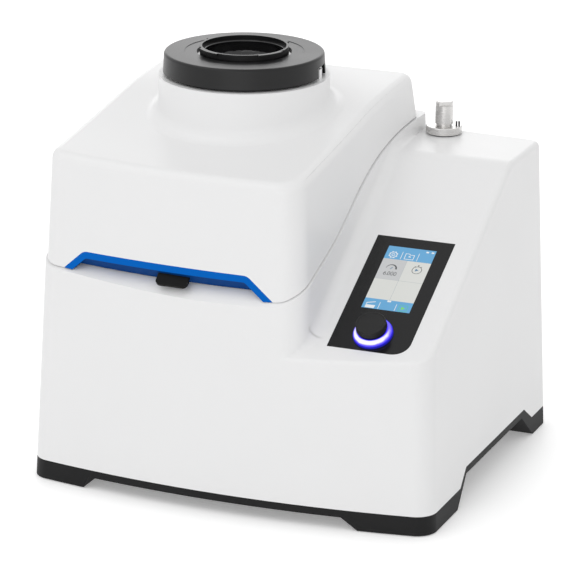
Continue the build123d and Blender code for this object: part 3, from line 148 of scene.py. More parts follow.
class Board:
    """A material's node tree with short ways to fill it."""

    def __init__(self, name: str) -> None:
        """Make the material.

        Args:
            name: Name of the material.
        """
        self.material = bpy.data.materials.new(name)
        self.material.use_nodes = True
        self.tree = self.material.node_tree
        self.tree.nodes.clear()
        self.out = self.tree.nodes.new("ShaderNodeOutputMaterial")
        self._place = None

    def node(self, kind: str, settings: dict | None = None, inputs: dict | None = None) -> bpy.types.Node:
        """Add one node.

        Args:
            kind: Type name of the node.
            settings: Properties that are set first; "stops" fills a colour ramp.
            inputs: Values or links by the socket's name or number.

        Returns:
            The new node.
        """
        made = self.tree.nodes.new(kind)
        for key, value in (settings or {}).items():
            if key == "stops":
                self._fill_ramp(made, value)
            else:
                setattr(made, key, value)
        for key, value in (inputs or {}).items():
            self.feed(made.inputs[key], value)
        return made

    @staticmethod
    def _fill_ramp(ramp: bpy.types.Node, stops: Sequence[tuple[float, Colour]]) -> None:
        """Set the stops of a colour ramp.

        Args:
            ramp: The ramp node.
            stops: Places from 0 to 1 with their colours.
        """
        elements = ramp.color_ramp.elements
        while len(elements) < len(stops):
            elements.new(1.0)
        for element, (place, colour) in zip(elements, stops):
            element.position = place
            element.color = (*colour, 1.0)

    def feed(self, socket: bpy.types.NodeSocket, value: Link) -> None:
        """Give an input its value or its link.

        Args:
            socket: The input.
            value: A number, a colour, a vector, an output socket or a Shade.
        """
        if isinstance(value, Shade):
            self.tree.links.new(value.socket, socket)
        elif isinstance(value, bpy.types.NodeSocket):
            self.tree.links.new(value, socket)
        elif isinstance(value, (int, float)):
            socket.default_value = value
        elif len(value) == 3 and len(socket.default_value) == 4:
            socket.default_value = (*value, 1.0)
        else:
            socket.default_value = value

    @property
    def place(self) -> bpy.types.NodeSocket:
        """Object coordinates, in metres."""
        if self._place is None:
            self._place = self.node("ShaderNodeTexCoord").outputs["Object"]
        return self._place

    def moved(self, centre: Point, turn: Point = (0, 0, 0)) -> bpy.types.NodeSocket:
        """Coordinates around a centre.

        Args:
            centre: The point that becomes the origin.
            turn: Angles by which the pattern is turned.

        Returns:
            The moved coordinates.
        """
        mapping = self.node("ShaderNodeMapping", {"vector_type": "TEXTURE"}, {
            "Vector": self.place,
            "Location": centre,
            "Rotation": turn,
        })
        return mapping.outputs[0]

    def split(self, vector: bpy.types.NodeSocket) -> tuple[Shade, Shade, Shade]:
        """The three parts of a vector."""
        parts = self.node("ShaderNodeSeparateXYZ", None, {0: vector})
        return tuple(Shade(self, output) for output in parts.outputs)

    def noise(
        self, period: float, vector: Link | None = None, detail: float = 3.0, stretch: Point = (1, 1, 1),
    ) -> Shade:
        """Soft noise between 0 and 1.

        Args:
            period: Size of the spots in metres.
            vector: Coordinates; the object's own if left out.
            detail: How fine the noise gets.
            stretch: Factors on the three axes of the coordinates.

        Returns:
            The noise.
        """
        inputs = {"Vector": vector or self.place, "Scale": stretch}
        scaled = self.node("ShaderNodeMapping", None, inputs).outputs[0]
        inputs = {"Vector": scaled, "Scale": 1.0 / period, "Detail": detail}
        node = self.node("ShaderNodeTexNoise", None, inputs)
        return Shade(self, node.outputs[0])

    def mix(self, factor: Value, first: Link, second: Link) -> bpy.types.NodeSocket:
        """Blend two colours.

        Args:
            factor: 0 for the first colour, 1 for the second.
            first: The first colour.
            second: The second colour.

        Returns:
            The blended colour.
        """
        node = self.node("ShaderNodeMix", {"data_type": "RGBA"})
        self.feed(node.inputs[0], factor)
        self.feed(node.inputs[6], first)
        self.feed(node.inputs[7], second)
        return node.outputs[2]

    def bump(self, height: Value, depth: float) -> bpy.types.NodeSocket:
        """Turn a height into a normal.

        Args:
            height: Height from 0 to 1.
            depth: Depth in metres of a full step of the height.

        Returns:
            The normal.
        """
        node = self.node("ShaderNodeBump", None, {"Height": height, "Distance": depth, "Strength": 1.0})
        return node.outputs[0]

    def surface(self, fixed: dict | None = None, **linked: Link) -> bpy.types.Material:
        """Finish the material with one Principled shader.

        Args:
            fixed: Constant values by the shader's own socket names.
            **linked: Values or links; underscores stand for the spaces in the socket names.

        Returns:
            The finished material.
        """
        shader = self.node("ShaderNodeBsdfPrincipled", None, fixed)
        for key, value in linked.items():
            self.feed(shader.inputs[key.replace("_", " ")], value)
        self.tree.links.new(shader.outputs[0], self.out.inputs[0])
        return self.material


# Finishes

@dataclass(frozen=True)
class MouldedPlastic:
    """Injection-moulded plastic with a fine grain and faint flow marks."""

    name: str
    colour: Colour
    roughness: float
    grain: float = 0.0006
    grain_depth: float = 0.00002
    drift: float = 0.03
    gloss: float = 0.5

    def material(self) -> bpy.types.Material:
        """Build the material."""
        board = Board(self.name)
        flow = board.noise(0.11, detail=2.0)
        fine = board.noise(self.grain, detail=2.0)
        darker = tuple(channel * (1 - self.drift) for channel in self.colour)
        return board.surface(
            {"Specular IOR Level": self.gloss},
            Base_Color=board.mix(flow, self.colour, darker),
            Roughness=(flow - 0.5) * 0.12 + (fine - 0.5) * 0.08 + self.roughness,
            Normal=board.bump(fine, self.grain_depth),
        )


@dataclass(frozen=True)
class PlasticWithPaintedShade:
    """Coloured plastic whose faces that look down take a darker colour, which is painted shade."""

    name: str
    face: Colour
    # Darker colour for the faces that look down: painted shade.
    painted_underside_shade: Colour
    roughness: float = 0.36

    def material(self) -> bpy.types.Material:
        """Build the material."""
        board = Board(self.name)
        normal = board.node("ShaderNodeTexCoord").outputs["Normal"]
        # Mask of the faces that look down; they get the painted shade colour.
        down = board.split(normal)[2] < -0.35
        fine = board.noise(0.0005, detail=2.0)
        flow = board.noise(0.05, detail=2.0)
        face_colour = board.mix(flow, self.face, tuple(channel * 0.94 for channel in self.face))
        return board.surface(
            {"Specular IOR Level": 0.05},
            Base_Color=board.mix(down, face_colour, self.painted_underside_shade),
            Roughness=(flow - 0.5) * 0.1 + self.roughness,
            Normal=board.bump(fine, 0.00001),
        )


@dataclass(frozen=True)
class TurnedMetal:
    """Metal turned on a lathe, with fine grooves around an upright axis."""

    name: str
    colour: Colour
    axis: tuple[float, float]
    roughness: float = 0.24
    pitch: float = 0.0004

    def material(self) -> bpy.types.Material:
        """Build the material."""
        board = Board(self.name)
        x, y, z = board.split(board.moved((self.axis[0], self.axis[1], 0.0)))
        radius = (x * x + y * y).root()
        groove = ((radius + z) * (math.tau / self.pitch)).sine() * 0.5 + 0.5
        streak = board.noise(0.004, detail=4.0, stretch=(0.3, 0.3, 6.0))
        bright = tuple(min(1.0, channel * 1.12) for channel in self.colour)
        return board.surface(
            {"Metallic": 1.0},
            Base_Color=board.mix(streak, self.colour, bright),
            Roughness=(streak - 0.5) * 0.22 + groove * 0.03 + self.roughness,
            Normal=board.bump(groove * 0.4 + streak * 0.6, 0.000006),
        )


@dataclass(frozen=True)
class RolledSheet:
    """Brushed sheet metal with streaks along X."""

    name: str
    colour: Colour
    roughness: float = 0.32

    def material(self) -> bpy.types.Material:
        """Build the material."""
        board = Board(self.name)
        streak = board.noise(0.002, detail=4.0, stretch=(0.04, 1.0, 1.0))
        cloud = board.noise(0.05, detail=2.0)
        bright = tuple(min(1.0, channel * 1.15) for channel in self.colour)
        return board.surface(
            {"Metallic": 1.0},
            Base_Color=board.mix(streak, self.colour, bright),
            Roughness=(streak - 0.5) * 0.25 + (cloud - 0.5) * 0.1 + self.roughness,
            Normal=board.bump(streak, 0.00001),
        )


@dataclass(frozen=True)
class PowderCoat:
    """Painted steel with the small waves of a powder coat."""

    name: str
    colour: Colour
    roughness: float = 0.5

    def material(self) -> bpy.types.Material:
        """Build the material."""
        board = Board(self.name)
        waves = board.noise(0.0018, detail=2.0)
        cloud = board.noise(0.06, detail=2.0)
        dusty = tuple(channel * 1.1 + 0.004 for channel in self.colour)
        return board.surface(
            None,
            Base_Color=board.mix(cloud, self.colour, dusty),
            Roughness=(cloud - 0.5) * 0.15 + self.roughness,
            Normal=board.bump(waves, 0.00008),
        )


@dataclass(frozen=True)
class CastMetal:
    """Cast light alloy with a sandy skin."""

    name: str
    colour: Colour
    roughness: float = 0.45

    def material(self) -> bpy.types.Material:
        """Build the material."""
        board = Board(self.name)
        sand = board.noise(0.0012, detail=5.0)
        cloud = board.noise(0.04, detail=3.0)
        dull = tuple(channel * 0.8 for channel in self.colour)
        return board.surface(
            {"Metallic": 1.0},
            Base_Color=board.mix(cloud, self.colour, dull),
            Roughness=(sand - 0.5) * 0.25 + self.roughness,
            Normal=board.bump(sand, 0.00012),
        )


@dataclass(frozen=True)
class SoftRubber:
    """Matte rubber with a dusty bloom."""

    name: str
    colour: Colour = (0.02, 0.02, 0.021)

    def material(self) -> bpy.types.Material:
        """Build the material."""
        board = Board(self.name)
        bloom = board.noise(0.012, detail=4.0)
        grain = board.noise(0.0005, detail=2.0)
        dusty = tuple(channel + 0.02 for channel in self.colour)
        return board.surface(
            None,
            Base_Color=board.mix(bloom, self.colour, dusty),
            Roughness=(bloom - 0.5) * 0.2 + 0.75,
            Normal=board.bump(grain, 0.00004),
        )


@dataclass(frozen=True)
class DarkGlass:
    """Black cover glass with faint dust and wipe marks."""

    name: str
    colour: Colour = (0.009, 0.009, 0.0095)

    def material(self) -> bpy.types.Material:
        """Build the material."""
        board = Board(self.name)
        wipe = board.noise(0.03, detail=4.0, stretch=(1.0, 0.35, 0.35))
        dust = board.noise(0.0009, detail=1.0) > 0.79
        return board.surface(
            {"Specular IOR Level": 0.24},
            Base_Color=board.mix(dust * 0.25, self.colour, (0.06, 0.06, 0.06)),
            Roughness=(wipe - 0.5) * 0.1 + dust * 0.2 + 0.2,
            Normal=board.bump(wipe, 0.000004),
        )


@dataclass(frozen=True)
class LitInk:
    """A plain area of the lit picture on the screen, with the fine mesh of its pixels."""

    name: str
    colour: Colour
    strength: float = 0.8

    def material(self) -> bpy.types.Material:
        """Build the material."""
        board = Board(self.name)
        x, y, _ = board.split(board.place)
        rows = ((y * (math.tau / 0.0006)).sine() * (x * (math.tau / 0.0006)).sine()) * 0.03
        glow = board.noise(0.05, detail=1.0)
        dim = tuple(channel * 0.93 for channel in self.colour)
        shade = board.mix(glow + rows, dim, self.colour)
        return board.surface(
            {"Emission Strength": self.strength, "Roughness": 0.3},
            Base_Color=board.mix(0.9, shade, (0.0, 0.0, 0.0)),
            Emission_Color=shade,
        )


@dataclass(frozen=True)
class GlowingRing:
    """Translucent ring that shines white along its crown and blue at its edges."""

    name: str
    centre: Point
    tilt: float
    crown: float
    half_width: float

    def material(self) -> bpy.types.Material:
        """Build the material."""
        board = Board(self.name)
        x, y, z = board.split(board.moved(self.centre, (self.tilt, 0.0, 0.0)))
        radius = (x * x + y * y).root()
        away = abs(radius - self.crown) / self.half_width
        uneven = board.noise(0.006, detail=3.0) * 0.5
        front = (0.0 - y) / self.crown * 0.5 + 0.5
        heat = (1.15 - away * away) * (front * 0.75 + 0.25) * (uneven + 0.75)
        ramp = board.node("ShaderNodeValToRGB", {"stops": (
            (0.0, (0.01, 0.01, 0.35)),
            (0.3, (0.05, 0.03, 1.0)),
            (0.6, (0.22, 0.16, 1.0)),
            (0.85, (0.85, 0.82, 1.0)),
        )}, {0: heat})
        return board.surface(
            {"Emission Strength": 1.0, "Roughness": 0.25},
            Base_Color=board.mix(0.85, ramp.outputs[0], (0.0, 0.0, 0.0)),
            Emission_Color=ramp.outputs[0],
        )


@dataclass(frozen=True)
class WoundCopper:
    """Copper windings seen as fine upright wires around an axis."""

    name: str
    axis: tuple[float, float]

    def material(self) -> bpy.types.Material:
        """Build the material."""
        board = Board(self.name)
        x, y, z = board.split(board.moved((self.axis[0], self.axis[1], 0.0)))
        wires = (y.turn(x) * 150.0).sine() * 0.5 + 0.5
        return board.surface(
            {"Metallic": 0.8},
            Base_Color=board.mix(wires, (0.25, 0.07, 0.02), (0.75, 0.3, 0.12)),
            Roughness=wires * 0.15 + 0.3,
            Normal=board.bump(wires, 0.0003),
        )


@dataclass(frozen=True)
class CircuitBoard:
    """Green lacquer over copper tracks."""

    name: str

    def material(self) -> bpy.types.Material:
        """Build the material."""
        board = Board(self.name)
        inputs = {"Scale": 220.0, "Vector": board.place}
        cells = board.node("ShaderNodeTexVoronoi", {"distance": "MANHATTAN"}, inputs)
        tracks = Shade(board, cells.outputs[0]) > 0.42
        spots = board.noise(0.004, detail=2.0)
        return board.surface(
            None,
            Base_Color=board.mix(tracks * 0.6, (0.005, 0.09, 0.03), (0.03, 0.28, 0.1)),
            Roughness=(spots - 0.5) * 0.2 + 0.35,
            Normal=board.bump(tracks, 0.00005),
        )


# Upright axes of the spindle and of the post, as x and y
AXIS = (-0.0586, 0.0055)
POST_AXIS = (0.101, 0.1755)


class Finish(Enum):
    """Every finish of the mill."""

    BODY = MouldedPlastic("body_white", (0.84, 0.84, 0.842), 0.36, 0.0007, 0.000012, 0.015, 0.4)
    TRAY = MouldedPlastic("tray_black", (0.010, 0.010, 0.0105), 0.55, 0.0009, 0.00005, 0.2, 0.2)
    # The handle's second colour is painted shade for its faces that look down.
    HANDLE = PlasticWithPaintedShade("handle_blue", (0.0, 0.125, 0.53), (0.001, 0.048, 0.215), 0.5)
    TAB = MouldedPlastic("tab_black", (0.004, 0.004, 0.0042), 0.6, 0.0004, 0.00002, 0.15, 0.15)
    CAP = MouldedPlastic("cap_black", (0.007, 0.007, 0.0075), 0.34, 0.0004, 0.00002, 0.15, 0.34)
    FUNNEL = MouldedPlastic("funnel_gloss", (0.006, 0.006, 0.0065), 0.13, 0.002, 0.000004, 0.1, 0.6)
    KNOB = MouldedPlastic("knob_black", (0.010, 0.010, 0.0105), 0.45, 0.0004, 0.00002, 0.15, 0.28)
    LINER = MouldedPlastic("liner_grey", (0.42, 0.43, 0.45), 0.45, 0.0008, 0.00004, 0.06)
    DARK = MouldedPlastic("dark_plastic", (0.045, 0.045, 0.048), 0.5, 0.0006, 0.00004, 0.15)
    POST = TurnedMetal("post_steel", (0.62, 0.61, 0.60), POST_AXIS)
    STAINLESS = TurnedMetal("stainless", (0.60, 0.60, 0.60), AXIS, 0.26)
    SHAFT = TurnedMetal("shaft_steel", (0.5, 0.5, 0.51), AXIS, 0.3)
    SCREWS = RolledSheet("zinc_screws", (0.5, 0.5, 0.52))
    SHEET = RolledSheet("sheet_steel", (0.55, 0.55, 0.56))
    COAT = PowderCoat("powder_grey", (0.22, 0.225, 0.235))
    ALLOY = CastMetal("cast_alloy", (0.6, 0.6, 0.61))
    RUBBER = SoftRubber("rubber_black")
    GLASS = DarkGlass("panel_glass")
    COPPER = WoundCopper("wound_copper", AXIS)
    BOARD = CircuitBoard("circuit_board")
    SKY = LitInk("screen_blue", (0.13, 0.42, 0.73))
    PAPER = LitInk("screen_pale", (0.75, 0.76, 0.73))
    SHADED = LitInk("screen_shaded", (0.61, 0.62, 0.63))
    RULE = LitInk("screen_rule", (0.44, 0.49, 0.51))
    INK = LitInk("screen_ink", (0.04, 0.045, 0.05))
    MARK = LitInk("screen_mark", (0.11, 0.24, 0.38))
    SNOW = LitInk("screen_white", (0.90, 0.92, 0.92))
    TEAL = LitInk("screen_teal", (0.10, 0.52, 0.52))
    GO = LitInk("screen_green", (0.21, 0.75, 0.17))
    RING = GlowingRing("glowing_ring", (0.1433, -0.141485, 0.191784), math.radians(28.3), 0.0174, 0.0027)


class Wardrobe:
    """Builds each finish once and hands it out."""

    def __init__(self) -> None:
        """Start with no material made."""
        self._made: dict[str, bpy.types.Material] = {}

    def get(self, finish: Finish) -> bpy.types.Material:
        """Material of a finish.

        Args:
            finish: The finish.

        Returns:
            Its material, made on first use.
        """
        if finish.name not in self._made:
            self._made[finish.name] = finish.value.material()
        return self._made[finish.name]


# Meshes

def to_mesh(name: str, shape: bmesh.types.BMesh) -> bpy.types.Object:
    """Turn a finished bmesh into an object at the origin.

    Args:
        name: Name of the piece.
        shape: The bmesh, which is freed.

    Returns:
        The new object, linked to the scene.
    """
    mesh = bpy.data.meshes.new(name)
    shape.to_mesh(mesh)
    shape.free()
    piece = bpy.data.objects.new(name, mesh)
    bpy.context.scene.collection.objects.link(piece)
    return piece


def smooth(piece: bpy.types.Object, angle: float) -> None:
    """Shade a piece smoothly and keep its edges sharp.

    Args:
        piece: The piece; its own mesh is left as it is.
        angle: Edges that turn by more degrees than this stay sharp.
    """
    mesh = piece.data
    mesh.polygons.foreach_set("use_smooth", [True] * len(mesh.polygons))
    piece.modifiers.new("weld", "WELD").merge_threshold = 0.005 * MM
    split = piece.modifiers.new("edges", "EDGE_SPLIT")
    split.use_edge_angle = True
    split.use_edge_sharp = False
    split.split_angle = math.radians(angle)
    weighted = piece.modifiers.new("normals", "WEIGHTED_NORMAL")
    weighted.mode = "FACE_AREA"
    weighted.weight = 60


def rounded(
    points: Run, radii: dict[int, float], steps: int = 5,
) -> Run:
    """Round some corners of a closed outline.

    Args:
        points: The corners.
        radii: Radius by the number of the corner.
        steps: Pieces of each arc.

    Returns:
        The outline with arcs.
    """
    result = []
    for index, corner in enumerate(points):
        radius = radii.get(index)
        if not radius:
            result.append(corner)
            continue
        here = Vector(corner)
        before = (Vector(points[index - 1]) - here).normalized()
        after = (Vector(points[(index + 1) % len(points)]) - here).normalized()
        half = before.angle(after) / 2
        reach = radius / math.tan(half)
        centre = here + (before + after).normalized() * (radius / math.sin(half))
        start = here + before * reach - centre
        turn = start.angle_signed(here + after * reach - centre)
        for step in range(steps + 1):
            angle = -turn * step / steps
            result.append((
                centre.x + start.x * math.cos(angle) - start.y * math.sin(angle),
                centre.y + start.x * math.sin(angle) + start.y * math.cos(angle),
            ))
    return result


# Patterns made by Geometry Nodes

class Pattern:
    """A Geometry Nodes tree with named inputs that makes one repeated detail."""

    KINDS = {float: "NodeSocketFloat", int: "NodeSocketInt", tuple: "NodeSocketVector"}

    def __init__(self, name: str, inputs: dict[str, Union[float, int, Point]]) -> None:
        """Start a tree.

        Args:
            name: Name of the tree.
            inputs: Named inputs with their first values.
        """
        self.tree = bpy.data.node_groups.new(name, "GeometryNodeTree")
        self.tree.interface.new_socket("Points", in_out="INPUT", socket_type="NodeSocketGeometry")
        self.tree.interface.new_socket("Result", in_out="OUTPUT", socket_type="NodeSocketGeometry")
        self.keys: dict[str, str] = {}
        for key, value in inputs.items():
            socket = self.tree.interface.new_socket(key, in_out="INPUT", socket_type=self.KINDS[type(value)])
            socket.default_value = value
            self.keys[key] = socket.identifier
        self.given = self.tree.nodes.new("NodeGroupInput")
        self.values = dict(inputs)

    def node(self, kind: str, settings: dict | None = None, inputs: dict | None = None) -> bpy.types.Node:
        """Add one node.

        Args:
            kind: Type name of the node.
            settings: Properties that are set first.
            inputs: Values or sockets by the input's name or number.

        Returns:
            The new node.
        """
        made = self.tree.nodes.new(kind)
        for key, value in (settings or {}).items():
            setattr(made, key, value)
        for key, value in (inputs or {}).items():
            if isinstance(value, bpy.types.NodeSocket):
                self.tree.links.new(value, made.inputs[key])
            else:
                made.inputs[key].default_value = value
        return made

    def vector(self, x: Link = 0.0, y: Link = 0.0, z: Link = 0.0) -> bpy.types.NodeSocket:
        """Join three numbers into a vector."""
        return self.node("ShaderNodeCombineXYZ", None, {0: x, 1: y, 2: z}).outputs[0]

    def copies(self, points: Link, shape: Link, turn: Link | None = None) -> bpy.types.NodeSocket:
        """Put a copy of a shape on every point.

        Args:
            points: The points.
            shape: The shape.
            turn: Turn of each copy as angles.

        Returns:
            The copies.
        """
        node = self.node("GeometryNodeInstanceOnPoints", None, {"Points": points, "Instance": shape})
        if turn is not None:
            self.tree.links.new(turn, node.inputs["Rotation"])
        return node.outputs[0]

    def finish(self, parts: Iterable[tuple[bpy.types.NodeSocket, bpy.types.Material]]) -> None:
        """End the tree with real meshes and their materials.

        Args:
            parts: Geometry with its material.
        """
        joined = self.node("GeometryNodeJoinGeometry")
        for geometry, material in parts:
            real = self.node("GeometryNodeRealizeInstances", None, {0: geometry})
            inputs = {"Geometry": real.outputs[0], "Material": material}
            dressed = self.node("GeometryNodeSetMaterial", None, inputs)
            self.tree.links.new(dressed.outputs[0], joined.inputs[0])
        out = self.tree.nodes.new("NodeGroupOutput")
        self.tree.links.new(joined.outputs[0], out.inputs[0])

    def make(
        self, name: str, points: Sequence[Point] = (), **values: Union[float, int, Point]
    ) -> bpy.types.Object:
        """Run the tree and keep its result as a plain mesh.

        Args:
            name: Name of the piece.
            points: Points that the tree reads.
            **values: Values for the named inputs; underscores stand for spaces.

        Returns:
            The piece.
        """
        mesh = bpy.data.meshes.new(name + "_points")
        mesh.from_pydata([tuple(point) for point in points], [], [])
        carrier = bpy.data.objects.new(name + "_points", mesh)
        bpy.context.scene.collection.objects.link(carrier)
        modifier = carrier.modifiers.new("pattern", "NODES")
        modifier.node_group = self.tree
        for key, value in {**self.values, **{k.replace("_", " "): v for k, v in values.items()}}.items():
            modifier[self.keys[key]] = value
        graph = bpy.context.evaluated_depsgraph_get()
        result = bpy.data.meshes.new_from_object(carrier.evaluated_get(graph))
        carrier.modifiers.clear()
        bpy.data.objects.remove(carrier)
        result.name = name
        piece = bpy.data.objects.new(name, result)
        bpy.context.scene.collection.objects.link(piece)
        return piece


def slat_pattern(material: bpy.types.Material) -> Pattern:
    """Row of slanted slats above each other.

    Args:
        material: Material of the slats.

    Returns:
        The pattern, which puts one row on every point.
    """
    inputs = {"Count": 6, "Step": 0.008, "Width": 0.1, "Depth": 0.004, "Thickness": 0.001, "Tilt": 0.6}
    pattern = Pattern("slat_row", inputs)
    given = pattern.given.outputs
    row = pattern.node("GeometryNodeMeshLine", None, {
        "Count": given["Count"],
        "Offset": pattern.vector(z=given["Step"]),
    })
    size = pattern.vector(given["Width"], given["Depth"], given["Thickness"])
    slat = pattern.node("GeometryNodeMeshCube", None, {"Size": size})
    slats = pattern.copies(row.outputs[0], slat.outputs[0], pattern.vector(x=given["Tilt"]))
    pattern.finish([(pattern.copies(given["Points"], slats), material)])
    return pattern


def socket_pattern(painted_socket_shade: bpy.types.Material) -> Pattern:
    """Thin dark hexagons on the lower faces of screw heads: painted shade in place of their socket recesses.

    Args:
        painted_socket_shade: Dark material of the sockets.

    Returns:
        The pattern, which puts one socket on every point.
    """
    pattern = Pattern("hexagon_socket_shade", {"Radius": 0.002, "Depth": 0.0001})
    given = pattern.given.outputs
    socket = pattern.node("GeometryNodeMeshCylinder", None, {
        "Vertices": 6,
        "Radius": given["Radius"],
        "Depth": given["Depth"],
    })
    # The hexagons get the dark material: painted shade in place of the socket recesses.
    pattern.finish([(pattern.copies(given["Points"], socket.outputs[0]), painted_socket_shade)])
    return pattern


def stud_pattern(metal: bpy.types.Material) -> Pattern:
    """Short round studs that stand upright.

    Args:
        metal: Material of the studs.

    Returns:
        The pattern, which centres one stud on every point.
    """
    pattern = Pattern("round_studs", {"Radius": 0.001, "Length": 0.004})
    given = pattern.given.outputs
    stud = pattern.node("GeometryNodeMeshCylinder", None, {
        "Vertices": 24,
        "Radius": given["Radius"],
        "Depth": given["Length"],
    })
    pattern.finish([(pattern.copies(given["Points"], stud.outputs[0]), metal)])
    return pattern


# The mill's sub-assemblies

class Outfit:
    """Gives nodes their finish and smooth shading, attaches the scene's own pieces, and counts both."""

    def __init__(self, wardrobe: Wardrobe) -> None:
        """Keep the wardrobe.

        Args:
            wardrobe: Where the materials come from.
        """
        self.wardrobe = wardrobe
        self.pieces = 0

    def wear(self, finish: Finish, *names: str, angle: float = 32.0) -> None:
        """Dress nodes.

        Args:
            finish: Their finish.
            *names: Names of the nodes.
            angle: Edges that turn by more degrees stay sharp.
        """
        for name in names:
            node = bpy.data.objects[name]
            node.data.materials.clear()
            node.data.materials.append(self.wardrobe.get(finish))
            smooth(node, angle)
            self.pieces += 1

    def own(self, piece: bpy.types.Object, body: str, finish: Finish | None = None) -> None:
        """Attach a piece that the scene made itself.

        Args:
            piece: The piece.
            body: The body that carries it.
            finish: Its finish, unless it has its materials already.
        """
        if finish is not None:
            piece.data.materials.clear()
            piece.data.materials.append(self.wardrobe.get(finish))
        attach(piece, body)
        self.pieces += 1


class SubAssembly:
    """What every sub-assembly has in common."""

    def build(self, outfit: Outfit) -> None:
        """Dress the nodes and add the details.

        Args:
            outfit: Dresses the nodes.
        """
        raise NotImplementedError


@dataclass
class Tray(SubAssembly):
    """Black base tray with its legs, feet and screws."""

    foot_x: float = 180.0 * MM
    foot_y: tuple[float, float] = (-150.0 * MM, 166.0 * MM)
    screw_z: float = 4.5 * MM
    socket_radius: float = 2.0 * MM

    def build(self, outfit: Outfit) -> None:
        """Dress the tray and put thin dark hexagons under its screws, painted shade for their sockets."""
        outfit.wear(Finish.TRAY, "base_tray")
        outfit.wear(Finish.RUBBER, "rubber_feet")
        outfit.wear(Finish.SCREWS, "base_screws")
        spots = [(x, y, self.screw_z - 0.1 * MM) for x in (-self.foot_x, self.foot_x) for y in self.foot_y]
        # Thin dark hexagons paint the shade inside the screws' sockets.
        pattern = socket_pattern(outfit.wardrobe.get(Finish.DARK))
        sockets = pattern.make("base_sockets", spots, Radius=self.socket_radius)
        outfit.own(sockets, "housing")


